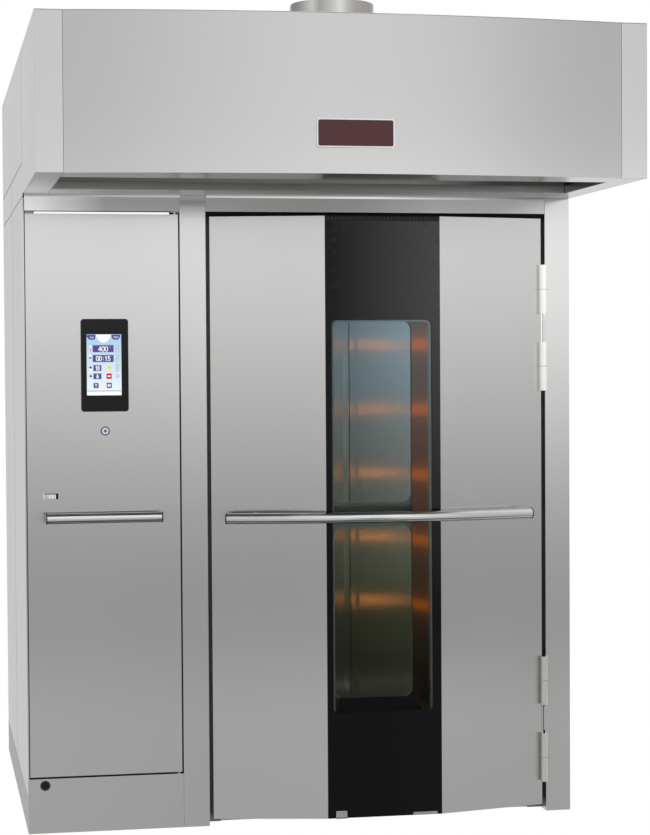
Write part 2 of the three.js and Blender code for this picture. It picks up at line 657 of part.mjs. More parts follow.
// ---------------------------------------------------------------- machine compartment
const blowerX = exchangerX().reduce((sum, x) => sum + x, 0) / 2;
const blowerY = (exchangerFront + chamberRear) / 2;
const voluteZ = [blowerFloor(), blowerFloor() + wheel.height + 2 * volute.headroom + 2 * volute.wall];

function exchangerX() {
  return [sheet + exchanger.side, serviceWidth - exchanger.side];
}

function outletY() {
  const far = (exchangerFront + chamberRear) / 2 - volute.start - volute.growth;
  return { outer: [far - volute.wall, far + airPort.width + volute.wall], inner: [far, far + airPort.width] };
}

/** Spiral outline of the blower, widening anticlockwise towards its outlet. */
function spiral(extra) {
  const points = Array.from({ length: volute.steps + 1 }, (_, i) => {
    const turn = i / volute.steps;
    const angle = -Math.PI / 2 + turn * 2 * Math.PI;
    const r = volute.start + volute.growth * turn + extra;
    return [blowerX + r * Math.cos(angle), blowerY + r * Math.sin(angle)];
  });
  return outline(points);
}

function blowerHousing() {
  const [low, high] = voluteZ;
  const inside = [low + volute.wall, high - volute.wall];
  const { outer, inner } = outletY();
  const airTop = inside[0] + airPort.height;
  const spout = slab([blowerX, serviceWidth], outer, [low, airTop + volute.wall]);
  const air = slab([blowerX, serviceWidth + past], inner, [inside[0], airTop]);
  const inlet = rodZ(blowerX, blowerY, wheel.bladeInner, through([low, inside[0]]), roundSides);
  const shaftHole = rodZ(blowerX, blowerY, wheelHub.shaftR + volute.shaftRoom, through([inside[1], high]));
  const shell = join(prismZ(spiral(volute.wall), voluteZ), spout);
  return cut(shell, prismZ(spiral(0), inside), air, inlet, shaftHole);
}

/** Centrifugal wheel: back plate, hub, inlet ring and backward-swept blades. */
function blowerWheel() {
  const low = voluteZ[0] + volute.wall + volute.headroom;
  const high = low + wheel.height;
  const back = rodZ(blowerX, blowerY, wheel.r, [high - wheel.plate, high], roundSides);
  const ringZ = [low, low + wheel.plate];
  const ring = cut(
    rodZ(blowerX, blowerY, wheel.r, ringZ, roundSides),
    rodZ(blowerX, blowerY, wheel.bladeInner, through(ringZ), roundSides));
  const hub = rodZ(blowerX, blowerY, wheelHub.r, [high - wheelHub.height, high]);
  const shaft = rodZ(blowerX, blowerY, wheelHub.shaftR, [high - past, voluteZ[1] + wheelHub.shaftRise]);
  const bladeZ = through([low + wheel.plate, high - wheel.plate]);
  const blades = Array.from({ length: wheel.blades }, (_, blade) => {
    const start = (blade * 2 * Math.PI) / wheel.blades;
    const edge = Array.from({ length: bladeSweep.steps + 1 }, (__, i) => {
      const t = i / bladeSweep.steps;
      const r = wheel.bladeInner + (wheel.r - bladeSweep.edge - wheel.bladeInner) * t;
      const angle = start - bladeSweep.even * t - bladeSweep.growing * t * t;
      return [blowerX + r * Math.cos(angle), blowerY + r * Math.sin(angle)];
    });
    const plan = [...edge, ...offsetLine(edge, wheel.bladeThick).reverse()];
    return prismZ(outline(plan), bladeZ);
  });
  return join(back, ring, hub, shaft, ...blades);
}

/** Finned motor that stands on the blower housing. */
function blowerMotor() {
  const low = voluteZ[1] + seat;
  const foot = rodZ(blowerX, blowerY, motor.footR, [low, low + motor.footThick], roundSides);
  const plan = Array.from({ length: 2 * motorFins.edges }, (_, i) => {
    const r = i % 4 < 2 ? motor.r : motor.r - motorFins.depth;
    const angle = (i * Math.PI) / motorFins.edges;
    return [blowerX + r * Math.cos(angle), blowerY + r * Math.sin(angle)];
  });
  const can = prismZ(outline(plan), [low + motor.footThick - past, low + motor.height]);
  const boreZ = [low - past, voluteZ[1] + wheelHub.shaftRise + motor.endRoom];
  const bore = rodZ(blowerX, blowerY, wheelHub.shaftR + motor.shaftRoom, boreZ);
  return cut(join(foot, can), bore);
}

/** Heat exchanger casing with stiffening ribs on the face towards the access door. */
function heatExchanger() {
  const x = exchangerX();
  const z = [skirtHeight + seat, skirtHeight + seat + exchanger.height];
  const y = [exchangerFront, chamberRear - exchanger.rearGap];
  const pitch = (x[1] - x[0] - exchangerRibs.width) / (exchangerRibs.count - 1);
  const ribs = Array.from({ length: exchangerRibs.count }, (_, i) => slab(
    [x[0] + i * pitch, x[0] + i * pitch + exchangerRibs.width],
    [y[0] - exchangerRibs.depth, y[0] + past],
    [z[0] + exchangerRibs.low, z[1]]));
  const inletZ = [z[1] - exchanger.inlet, z[1] + past];
  const inlet = rodZ(blowerX, blowerY, wheel.bladeInner, inletZ, roundSides);
  return cut(join(slab(x, y, z), ...ribs), inlet);
}

/** Burner: a casing with a round gas valve body in front, fixed to the heat exchanger's lower face. */
function burnerBox() {
  const y1 = exchangerFront - seat;
  const z0 = skirtHeight + burner.lift;
  const y0 = y1 - burner.depth;
  const section = roundedRectangle([y0, y1], [z0, z0 + burner.height], burner.cornerR);
  const box = prismX(section, around(blowerX, burner.width / 2));
  const valveY = [y0 - burner.tubeLength, y0 + past];
  const valve = rodY(blowerX, z0 + burner.height / 2, burner.tubeR, valveY, roundSides);
  return join(box, valve);
}

/** Electrical enclosure on the left side panel, with a lipped door. */
function controlBox() {
  const x = [sheet + seat, sheet + seat + controls.depth];
  const y = [controls.front, controls.front + controls.width];
  const z = [controls.bottom, controls.bottom + controls.height];
  const lapped = ([low, high]) => [low - controlsLid.lap, high + controlsLid.lap];
  const lidShape = roundedRectangle(lapped(y), lapped(z), controlsLid.cornerR);
  const lid = prismX(lidShape, [x[1] - past, x[1] + controlsLid.thick]);
  return join(slab(x, y, z), lid);
}

function buildMachinery() {
  add('heat_exchanger', heatExchanger(), galvanised);
  add('burner_box', burnerBox(), motorPaint);
  add('control_box', controlBox(), galvanised);
  add('blower_housing', blowerHousing(), galvanised);
  add('blower_motor', blowerMotor(), motorPaint);
  add('blower_wheel', blowerWheel(), galvanised);
}

// ---------------------------------------------------------------- main door
const doorPath = [
  [doorLeft, doorBack], [doorLeft, 0], [bayLeft, -doorBay],
  [bayRight, -doorBay], [doorRight, 0], [doorRight, doorBack],
];
const doorZ = [doorBottom, doorTop];
const glassZ = [doorBottom, doorTop - vent.height - seat];

/** Steel facet of the bay, folded back along the door's edge and trimmed square beside the glass. */
function doorSkinSide(points) {
  const glassRoom = slab([bayLeft, bayRight], [-doorBay - past, doorBack], through(doorZ));
  return cut(foldedSheet(points, doorSkin, doorZ), glassRoom);
}

/** Insulated core of the door, cut through behind the window and rebated for the inner pane. */
function doorCore() {
  const inset = offsetLine(doorPath, doorSkin + seat);
  const slabShape = [[inset[0][0], doorBack], ...inset.slice(1, 5), [inset[5][0], doorBack]];
  const body = prismZ(outline(slabShape), doorZ);
  const roomX = [bayLeft - doorGlassRoom, bayRight + doorGlassRoom];
  const glassRoom = slab(roomX, [-doorBay - past, -doorBay + glassThick + seat], through(doorZ));
  const opening = roundedRectangle([tunnel.left, tunnel.right], [tunnel.low, tunnel.high], tunnel.r);
  const lap = pane.lap + seat;
  const rebate = slab(
    [tunnel.left - lap, tunnel.right + lap],
    [doorBack - pane.thick - seat, doorBack + past],
    [tunnel.low - lap, tunnel.high + lap]);
  return cut(body, glassRoom, prismY(opening, [-doorBay, doorBack + past]), rebate);
}

function doorOuterGlass() {
  return slab([bayLeft + seat, bayRight - seat], [-doorBay, -doorBay + glassThick], glassZ);
}

/** Pane that lies in the core's rebate. */
function doorInnerGlass() {
  const x = [tunnel.left - pane.lap, tunnel.right + pane.lap];
  return slab(x, [doorBack - pane.thick, doorBack], [tunnel.low - pane.lap, tunnel.high + pane.lap]);
}

/** Inner sheet of the door, with an upper and a lower window and a rail between them. */
function doorLiner() {
  const plate = slab([doorLeft + linerInset, doorRight - linerInset], [doorBack + seat, linerBack],
    [doorBottom + linerInset, doorTop - linerInset]);
  const holeY = through([doorBack, linerBack]);
  const x = [window.left, window.right];
  return cut(plate,
    prismY(roundedRectangle(x, [window.low, window.railLow], window.r), holeY),
    prismY(roundedRectangle(x, [window.railHigh, window.high], window.r), holeY));
}

/** Perforated strip that closes the gap above the outer glass. */
function ventStrip() {
  const x = [bayLeft + seat, bayRight - seat];
  const z = [doorTop - vent.height, doorTop];
  const y = [-doorBay, -doorBay + glassThick];
  const pitch = (x[1] - x[0] - 2 * vent.margin) / (vent.holes - 1);
  const holes = Array.from({ length: vent.holes }, (_, i) => rodY(
    x[0] + vent.margin + i * pitch, doorTop - vent.height / 2, vent.holeR, through(y), vent.sides));
  return cut(slab(x, y, z), ...holes);
}

/** Seal on the back of the door, with a sweep along the floor. */
function doorGasket() {
  const left = doorLeft + gasket.inset;
  const right = doorRight - gasket.inset;
  const [low, high] = [doorBottom + gasket.bottomLift, doorTop - gasket.topDrop];
  const y = [linerBack + seat, jambFront - gasket.clearance];
  const openX = [left + gasket.width, right - gasket.width];
  const open = slab(openX, through(y), [low + gasket.sweepHeight, high - gasket.width]);
  return cut(slab([left, right], y, [low, high]), open);
}

/** Height of the door's outer face in front of the post plane, at x. */
function doorFaceY(x) {
  const slope = doorBay / doorFacet;
  return Math.max(-doorBay, Math.max(-(x - doorLeft) * slope, -(doorRight - x) * slope));
}

/** Bowed tube that follows the bay, on two posts with round feet. */
function doorHandle() {
  const bow = [doorLeft + doorBar.fromLeft, doorRight - doorBar.fromRight, doorBar.endY, doorBar.bow];
  const path = bowPoints(...bow, doorBar.steps);
  const curve = new THREE.CatmullRomCurve3(path.map(([x, y]) => new THREE.Vector3(x, y, doorBar.z)));
  const section = new THREE.Shape();
  section.absarc(0, 0, doorBar.r, 0, 2 * Math.PI, false);
  const tube = toSolid(new THREE.ExtrudeGeometry(section, {
    steps: doorBar.steps, extrudePath: curve, curveSegments: smallSides / 2, bevelEnabled: false,
  }));
  const posts = [doorLeft + doorPost.fromEdge, doorRight - doorPost.fromEdge].flatMap((x) => {
    const faceY = doorFaceY(x) - seat;
    const lean = (doorPost.footR * doorBay) / doorFacet;
    return [
      rodY(x, doorBar.z, doorPost.r, [bowY(...bow, x), faceY - lean]),
      rodY(x, doorBar.z, doorPost.footR, [faceY - lean - doorPost.footThick, faceY - lean]),
    ];
  });
  return join(tube, ...posts);
}

/** Part of a lift-off hinge pair: a leaf in the door gap with a knuckle at each joint. */
function hingeLeaf(pair, onDoor) {
  const joints = [pair.high, pair.low];
  const span = [pair.low - knuckle.height, pair.high + knuckle.height];
  const leafLeft = onDoor ? doorRight + seat : rightPost - seat - leaf.thick;
  const leafX = [leafLeft, leafLeft + leaf.thick];
  const plate = slab(leafX, [-leaf.standoff + seat, leaf.depth], span);
  const pieces = joints.map((z) => {
    const upper = [z + knuckle.gap / 2, z + knuckle.height];
    const lower = [z - knuckle.height, z - knuckle.gap / 2];
    const ends = onDoor ? upper : lower;
    const barrel = rodZ(hinge.x, hinge.y, knuckle.r, ends);
    return join(barrel, slab(leafX, [hinge.y + knuckle.webRoot, seat], ends));
  });
  const body = join(plate, ...pieces);
  const pin = (r, z, length) => rodZ(hinge.x, hinge.y, r, [z - knuckle.gap, z + length]);
  const boreR = knuckle.pinR + knuckle.pinBore;
  return onDoor
    ? cut(body, ...joints.map((z) => pin(boreR, z, knuckle.pinLength + knuckle.pinRoom)))
    : join(body, ...joints.map((z) => pin(knuckle.pinR, z, knuckle.pinLength)));
}

function buildMainDoor() {
  add('door_core', doorCore(), galvanised);
  add('door_skin_left', doorSkinSide(doorPath.slice(0, 3)), stainless);
  add('door_skin_right', doorSkinSide(doorPath.slice(3)), stainless);
  add('door_outer_glass', doorOuterGlass(), blackGlass);
  add('door_vent_strip', ventStrip(), blackPlastic);
  add('door_inner_glass', doorInnerGlass(), clearGlass);
  add('door_liner', doorLiner(), linerSteel);
  add('door_gasket', doorGasket(), rubber);
  add('door_handle', doorHandle(), brightStainless);
  for (const pair of hingePairs) {
    add(`hinge_${pair.name}_door_leaf`, hingeLeaf(pair, true), brightStainless);
    add(`hinge_${pair.name}_frame_leaf`, hingeLeaf(pair, false), brightStainless);
  }
}

// ---------------------------------------------------------------- access door
const accessX = [accessLeft, serviceWidth - accessGap];

/** Sheet-metal pan with its open side to the rear, cut for the screen, the button and the latch. */
function accessDoorPanel() {
  const z = [accessBottom, accessTop];
  const hollowX = [accessX[0] + sheet, accessX[1] - sheet];
  const hollow = slab(hollowX, [sheet, accessDepth + past], [z[0] + sheet, z[1] - sheet]);
  const face = through([0, sheet]);
  const bore = rodY(button.x, button.z, button.r + button.bore, face);
  const slot = slab([latch.left, latch.right], face, [latch.low, latch.high]);
  const pivots = rodZ(accessAxis.x, accessAxis.y, accessPivot.r + accessPivot.bore, through(z));
  return cut(slab(accessX, [0, accessDepth], z), hollow, screenRoom(face), bore, slot, pivots);
}

/** Opening that the display goes through. */
function screenRoom(y) {
  return slab([display.left - seat, display.right + seat], y, [display.low - seat, display.high + seat]);
}

function touchBezel() {
  const face = roundedRectangle([bezel.left, bezel.right], [bezel.low, bezel.high], bezel.r);
  const y = [-seat - bezel.proud, -seat];
  return cut(prismY(face, y), screenRoom(through(y)));
}

function touchDisplay() {
  const y = [-seat - bezel.proud + display.recess, display.depth];
  return slab([display.left, display.right], y, [display.low, display.high]);
}

function accessHandle() {
  const bar = rodX(accessBar.y, accessBar.z, accessBar.r, [accessBar.left, accessBar.right], roundSides);
  const postX = [accessBar.left + accessPost.inset, accessBar.right - accessPost.inset];
  const posts = postX.flatMap((x) => [
    rodY(x, accessBar.z, accessPost.r, [accessBar.y, -seat]),
    rodY(x, accessBar.z, accessPost.footR, [-seat - accessPost.footThick, -seat]),
  ]);
  return join(bar, ...posts);
}

function buttonRing() {
  const y = [-seat - button.proud, -seat];
  const ring = rodY(button.x, button.z, button.ringR, y, roundSides);
  return cut(ring, rodY(button.x, button.z, button.r + button.bore, through(y)));
}

/** Button cap with a wider head behind the panel that keeps it in. */
function powerButton() {
  const cap = rodY(button.x, button.z, button.r, [-button.capProud, button.depth]);
  const headY = [sheet + seat, sheet + seat + buttonHead.thick];
  return join(cap, rodY(button.x, button.z, button.r + buttonHead.lap, headY));
}

/** Flush slide of the latch, with a tongue behind the panel that runs along the slot. */
function latchSlide() {
  const x = [latch.left + seat, latch.right - latch.travel - seat];
  const rear = sheet + seat;
  const thumb = slab(x, [latch.flush, rear + past], [latch.low + seat, latch.high - seat]);
  const tongueZ = [latch.low - latch.lip, latch.high + latch.lip];
  return join(thumb, slab([x[0] - latch.lip, x[1]], [rear, rear + latch.lipThick], tongueZ));
}

function buildAccessDoor() {
  add('access_door_panel', accessDoorPanel(), stainless);
  add('touch_bezel', touchBezel(), blackGlass);
  add('touch_display', touchDisplay(), screenGlass);
  add('access_handle', accessHandle(), brightStainless);
  add('button_ring', buttonRing(), brightStainless);
  add('power_button', powerButton(), lamplit);
  add('latch_slide', latchSlide(), brightStainless);
}

buildCabinet();
buildHood();
buildChamber();
buildRotator();
buildMachinery();
buildMainDoor();
buildAccessDoor();

oven.position.set(-bodyWidth / 2, -(hoodFront + bodyDepth) / 2, 0);

export default oven;
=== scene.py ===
"""Looks, studio and camera for a rotating rack oven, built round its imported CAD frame.

Sizes are in millimetres from the cabinet's left front corner at the floor: X runs right, Y back from the
plane of the front posts, Z up. Finished pieces are in metres in the frame that the CAD part uses.
"""

import logging
import math
from dataclasses import dataclass
from enum import Enum
from typing import Iterable, Optional, Sequence

import bmesh
import bpy
from mathutils import Matrix, Vector

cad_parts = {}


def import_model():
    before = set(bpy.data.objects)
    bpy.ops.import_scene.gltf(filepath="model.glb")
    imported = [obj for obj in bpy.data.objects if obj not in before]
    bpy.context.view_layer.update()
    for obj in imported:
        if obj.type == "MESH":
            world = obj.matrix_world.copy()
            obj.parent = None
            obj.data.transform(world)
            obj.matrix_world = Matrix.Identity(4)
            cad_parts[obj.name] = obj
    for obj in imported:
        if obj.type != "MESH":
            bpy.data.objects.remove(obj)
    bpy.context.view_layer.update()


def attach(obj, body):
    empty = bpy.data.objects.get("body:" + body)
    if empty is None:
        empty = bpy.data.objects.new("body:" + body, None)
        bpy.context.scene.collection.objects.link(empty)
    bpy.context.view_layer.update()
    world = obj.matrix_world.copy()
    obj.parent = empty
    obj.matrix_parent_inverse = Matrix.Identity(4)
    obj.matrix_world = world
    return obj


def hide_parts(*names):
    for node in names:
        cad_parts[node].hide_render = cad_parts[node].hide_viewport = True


LOG = logging.getLogger("oven")

Point = tuple[float, float, float]
Socket = bpy.types.NodeSocket
Flat = tuple[float, float]
Colour = tuple[float, float, float]

MM = 0.001
CABINET_CORNER = Vector((-914.5, -355.5, 0.0))


def linear(red: float, green: float, blue: float) -> Colour:
    """Turn a colour as a display shows it into the linear colour that shaders take.

    Args:
        red: Red from 0 to 255.
        green: Green from 0 to 255.
        blue: Blue from 0 to 255.

    Returns:
        The linear colour.
    """
    shares = [value / 255 for value in (red, green, blue)]
    return tuple(v / 12.92 if v <= 0.04045 else ((v + 0.055) / 1.055) ** 2.4 for v in shares)


class Plane(Enum):
    """Plane that a flat outline is drawn in, named by its two axes and the axis it is raised along."""

    FRONT = "XZ"
    PLAN = "XY"
    SIDE = "YZ"

    def point(self, u: float, v: float, w: float) -> Vector:
        """Place an outline point.

        Args:
            u: Distance along the outline's first axis.
            v: Distance along its second axis.
            w: Distance along the axis it is raised along.

        Returns:
            The point in millimetres.
        """
        if self is Plane.FRONT:
            return Vector((u, w, v))
        if self is Plane.PLAN:
            return Vector((u, v, w))
        return Vector((w, u, v))


class Grain(Enum):
    """Direction that a brushed sheet was brushed in."""

    UPRIGHT = (0.02, 0.03, 1.0)
    ACROSS = (1.0, 0.02, 0.03)


def rounded(u: Flat, v: Flat, r: float, steps: int = 6) -> list[Flat]:
    """Outline a rectangle with round corners.

    Args:
        u: Lowest and highest value along the first axis.
        v: Lowest and highest value along the second axis.
        r: Corner radius.
        steps: Edges per corner.

    Returns:
        Points in anticlockwise order.
    """
    centres = [(u[1] - r, v[0] + r), (u[1] - r, v[1] - r), (u[0] + r, v[1] - r), (u[0] + r, v[0] + r)]
    points = []
    for corner, (cu, cv) in enumerate(centres):
        for i in range(steps + 1):
            angle = math.pi / 2 * (corner - 1 + i / steps)
            points.append((cu + r * math.cos(angle), cv + r * math.sin(angle)))
    return points


def circle(u: float, v: float, r: float, sides: int = 32) -> list[Flat]:
    """Outline a circle.

    Args:
        u: Centre along the first axis.
        v: Centre along the second axis.
        r: Radius.
        sides: Number of edges.

    Returns:
        Points in anticlockwise order.
    """
    turns = [2 * math.pi * i / sides for i in range(sides)]
    return [(u + r * math.cos(t), v + r * math.sin(t)) for t in turns]


# ---------------------------------------------------------------- shader graphs
class Graph:
    """Builds the node tree of one material or of the world."""

    def __init__(self, owner: bpy.types.ID) -> None:
        """Start with an empty tree.

        Args:
            owner: The material or the world.
        """
        self.owner = owner
        owner.use_nodes = True
        self.tree = owner.node_tree
        self.tree.nodes.clear()

    def node(self, kind: str, **values: object) -> bpy.types.Node:
        """Add a node.

        Args:
            kind: Shader node type.
            values: Attributes of the node to set.

        Returns:
            The node.
        """
        made = self.tree.nodes.new(kind)
        for key, value in values.items():
            setattr(made, key, value)
        return made

    def link(self, source: Socket, target: Socket) -> None:
        """Join an output to an input.

        Args:
            source: Output socket.
            target: Input socket.
        """
        self.tree.links.new(source, target)

    def math(self, operation: str, first: object, second: object = 0.0) -> Socket:
        """Add a math node.

        Args:
            operation: The node's operation.
            first: A number or a socket.
            second: A number or a socket.

        Returns:
            The result's socket.
        """
        made = self.node("ShaderNodeMath", operation=operation)
        for i, value in enumerate((first, second)):
            if isinstance(value, Socket):
                self.link(value, made.inputs[i])
            else:
                made.inputs[i].default_value = value
        return made.outputs[0]

    def ramp(self, value: Socket, stops: Sequence[Flat]) -> Socket:
        """Follow a curve through points.

        Args:
            value: Socket of the curve's argument.
            stops: Arguments, in order, with their results.

        Returns:
            The result's socket.
        """
        top = max(result for _, result in stops)
        shades = [(argument, (result / top,) * 3) for argument, result in stops]
        return self.math("MULTIPLY", self.tints(value, shades), top)

    def tints(self, value: Socket, stops: Sequence[tuple[float, Colour]]) -> Socket:
        """Follow a run of colours.

        Args:
            value: Socket of the run's argument.
            stops: Arguments, in order, with their colours.

        Returns:
            The colour's socket.
        """
        low, high = stops[0][0], stops[-1][0]
        scaled = self.node("ShaderNodeMapRange")
        scaled.inputs["From Min"].default_value = low
        scaled.inputs["From Max"].default_value = high
        self.link(value, scaled.inputs["Value"])
        curve = self.node("ShaderNodeValToRGB")
        elements = curve.color_ramp.elements
        while len(elements) < len(stops):
            elements.new(0.5)
        for element, (argument, colour) in zip(elements, stops):
            element.position = (argument - low) / (high - low)
            element.color = (*colour, 1.0)
        self.link(scaled.outputs[0], curve.inputs[0])
        return curve.outputs["Color"]

    def object_coordinates(self) -> Socket:
        """Give the object's own coordinates.

        Returns:
            The socket, in metres.
        """
        return self.node("ShaderNodeTexCoord").outputs["Object"]

    def noise(self, scale: Point, detail: float = 4.0, shift: Point = (0.0, 0.0, 0.0)) -> Socket:
        """Add noise on object coordinates.

        Args:
            scale: Features per metre along each axis.
            detail: Octaves of the noise.
            shift: Offset of the pattern.

        Returns:
            The noise value's socket.
        """
        mapping = self.node("ShaderNodeMapping")
        mapping.inputs["Scale"].default_value = scale
        mapping.inputs["Location"].default_value = shift
        self.link(self.object_coordinates(), mapping.inputs["Vector"])
        made = self.node("ShaderNodeTexNoise")
        made.inputs["Scale"].default_value = 1.0
        made.inputs["Detail"].default_value = detail
        self.link(mapping.outputs[0], made.inputs["Vector"])
        return made.outputs["Fac"]

    def spread(self, value: Socket, low: float, high: float) -> Socket:
        """Map the middle of a noise onto a range.

        Args:
            value: The noise.
            low: Result for noise of 0.3.
            high: Result for noise of 0.7.

        Returns:
            The result's socket.
        """
        made = self.node("ShaderNodeMapRange")
        made.inputs["From Min"].default_value = 0.3
        made.inputs["From Max"].default_value = 0.7
        made.inputs["To Min"].default_value = low
        made.inputs["To Max"].default_value = high
        self.link(value, made.inputs["Value"])
        return made.outputs[0]

    def principled(self, colour: Colour, roughness: float, metallic: float) -> bpy.types.Node:
        """Add the surface shader.

        Args:
            colour: Base colour, linear.
            roughness: Surface roughness.
            metallic: 1 for metal, 0 for anything else.

        Returns:
            The shader node.
        """
        shader = self.node("ShaderNodeBsdfPrincipled")
        shader.inputs["Base Color"].default_value = (*colour, 1.0)
        shader.inputs["Roughness"].default_value = roughness
        shader.inputs["Metallic"].default_value = metallic
        return shader

    def surface(self, shader: Socket) -> bpy.types.ID:
        """Finish the tree.

        Args:
            shader: Output of the surface's shader.

        Returns:
            The material or world.
        """
        world = isinstance(self.owner, bpy.types.World)
        output = self.node("ShaderNodeOutputWorld" if world else "ShaderNodeOutputMaterial")
        self.link(shader, output.inputs["Surface"])
        return self.owner


class Finish:
    """A surface finish that makes its material once."""

    def material(self) -> bpy.types.Material:
        """Give the finish's material, made on first use.

        Returns:
            The material.
        """
        found = bpy.data.materials.get(self.name)
        return found if found else self.build(Graph(bpy.data.materials.new(self.name)))

    def build(self, graph: Graph) -> bpy.types.Material:
        """Build the material.

        Args:
            graph: Empty graph to fill.

        Returns:
            The material.
        """
        raise NotImplementedError


@dataclass(frozen=True)
class BrushedSteel(Finish):
    """Stainless sheet with a brushed grain that stretches its reflections across the grain."""

    name: str
    tint: Colour = (0.62, 0.62, 0.615)
    roughness: float = 0.2
    grain: Grain = Grain.UPRIGHT
    stretch: float = 0.9
    streaks: float = 0.012
    clouds: float = 0.01
    relief: float = 0.004
    metallic: float = 1.0

    def build(self, graph: Graph) -> bpy.types.Material:
        """Build the steel.

        Args:
            graph: Empty graph to fill.

        Returns:
            The material.
        """
        return graph.surface(self.shader(graph).outputs[0])

    def shader(self, graph: Graph) -> bpy.types.Node:
        """Build the steel's shader.

        Args:
            graph: Graph of the material.

        Returns:
            The shader node.
        """
        along = max(range(3), key=lambda axis: self.grain.value[axis])
        fine = tuple(5.0 if axis == along else 900.0 for axis in range(3))
        broad = tuple(0.8 if axis == along else 2.6 for axis in range(3))
        streak = graph.noise(fine, 3.0)
        cloud = graph.noise(broad, 2.0, (3.1, 7.7, 1.3))
        shader = graph.principled(self.tint, self.roughness, self.metallic)
        rough = graph.math("ADD", graph.spread(streak, -self.streaks, self.streaks),
                           graph.spread(cloud, self.roughness - self.clouds, self.roughness + self.clouds))
        graph.link(rough, shader.inputs["Roughness"])
        shader.inputs["Anisotropic"].default_value = self.stretch
        graph.link(self.tangent(graph), shader.inputs["Tangent"])
        bump = graph.node("ShaderNodeBump")
        bump.inputs["Strength"].default_value = self.relief
        bump.inputs["Distance"].default_value = 0.001
        graph.link(streak, bump.inputs["Height"])
        graph.link(bump.outputs[0], shader.inputs["Normal"])
        return shader

    def tangent(self, graph: Graph) -> Socket:
        """Give the direction across the grain on the surface.

        Args:
            graph: Graph of the material.

        Returns:
            The tangent's socket.
        """
        line = graph.node("ShaderNodeCombineXYZ")
        for i in range(3):
            line.inputs[i].default_value = self.grain.value[i]
        turned = graph.node("ShaderNodeVectorTransform", vector_type="VECTOR", convert_from="OBJECT",
                            convert_to="WORLD")
        graph.link(line.outputs[0], turned.inputs[0])
        across = graph.node("ShaderNodeVectorMath", operation="CROSS_PRODUCT")
        graph.link(turned.outputs[0], across.inputs[0])
        graph.link(graph.node("ShaderNodeNewGeometry").outputs["Normal"], across.inputs[1])
        return across.outputs[0]


@dataclass(frozen=True)
class JointedSteel(BrushedSteel):
    """Sheet steel that darkens along its joints, each given by axis, place, half width in m and what stays."""

    joints: tuple[tuple[int, float, float, float], ...] = ()

    def build(self, graph: Graph) -> bpy.types.Material:
        """Build the steel with its joints.

        Args:
            graph: Empty graph to fill.

        Returns:
            The material.
        """
        shader = self.shader(graph)
        parts = graph.node("ShaderNodeSeparateXYZ")
        graph.link(graph.object_coordinates(), parts.inputs[0])
        kept = None
        for axis, place, half, left in self.joints:
            off = graph.math("ABSOLUTE", graph.math("SUBTRACT", parts.outputs[axis], place))
            share = graph.ramp(off, ((0.0, left), (half, left), (half * 1.5, 1.0)))
            kept = share if kept is None else graph.math("MULTIPLY", kept, share)
        tinted = graph.node("ShaderNodeVectorMath", operation="SCALE")
        tinted.inputs[0].default_value = self.tint
        graph.link(kept, tinted.inputs["Scale"])
        graph.link(tinted.outputs[0], shader.inputs["Base Color"])
        return graph.surface(shader.outputs[0])


@dataclass(frozen=True)
class PaintedLight(BrushedSteel):
    """Sheet with light painted on by place: a haze that changes with height, and bands like the lamps'."""

    haze: tuple[tuple[float, Colour], ...] = ()
    glow: tuple[tuple[float, Colour], ...] = ()
    across: tuple[Flat, ...] = ((-1.0, 1.0), (1.0, 1.0))
    first: float = 0.712
    pitch: float = 0.2185
    dim: float = 0.0

    def build(self, graph: Graph) -> bpy.types.Material:
        """Build the lit sheet.

        Args:
            graph: Empty graph to fill.

        Returns:
            The material.
        """
        shader = self.shader(graph)
        parts = graph.node("ShaderNodeSeparateXYZ")
        graph.link(graph.object_coordinates(), parts.inputs[0])
        height = parts.outputs[2]
        above_first = graph.math("SUBTRACT", height, self.first - self.pitch / 2)
        turn = graph.math("MULTIPLY", above_first, 1 / self.pitch)
        off = graph.math("ABSOLUTE", graph.math("SUBTRACT", graph.math("FRACT", turn), 0.5))
        band = graph.ramp(off, ((0.0, 1.0), (0.05, 0.8), (0.12, 0.25), (0.25, 0.04), (0.5, 0.0)))
        spared = graph.math("SUBTRACT", 1.0, graph.math("MULTIPLY", band, self.dim))
        level = graph.math("MULTIPLY", graph.ramp(parts.outputs[0], self.across), spared)
        both = graph.node("ShaderNodeVectorMath", operation="ADD")
        for i, (stops, share) in enumerate(((self.haze, level), (self.glow, band))):
            tinted = graph.node("ShaderNodeVectorMath", operation="SCALE")
            graph.link(graph.tints(height, stops), tinted.inputs[0])
            graph.link(share, tinted.inputs["Scale"])
            graph.link(tinted.outputs[0], both.inputs[i])
        graph.link(both.outputs[0], shader.inputs["Emission Color"])
        shader.inputs["Emission Strength"].default_value = 1.0
        return graph.surface(shader.outputs[0])


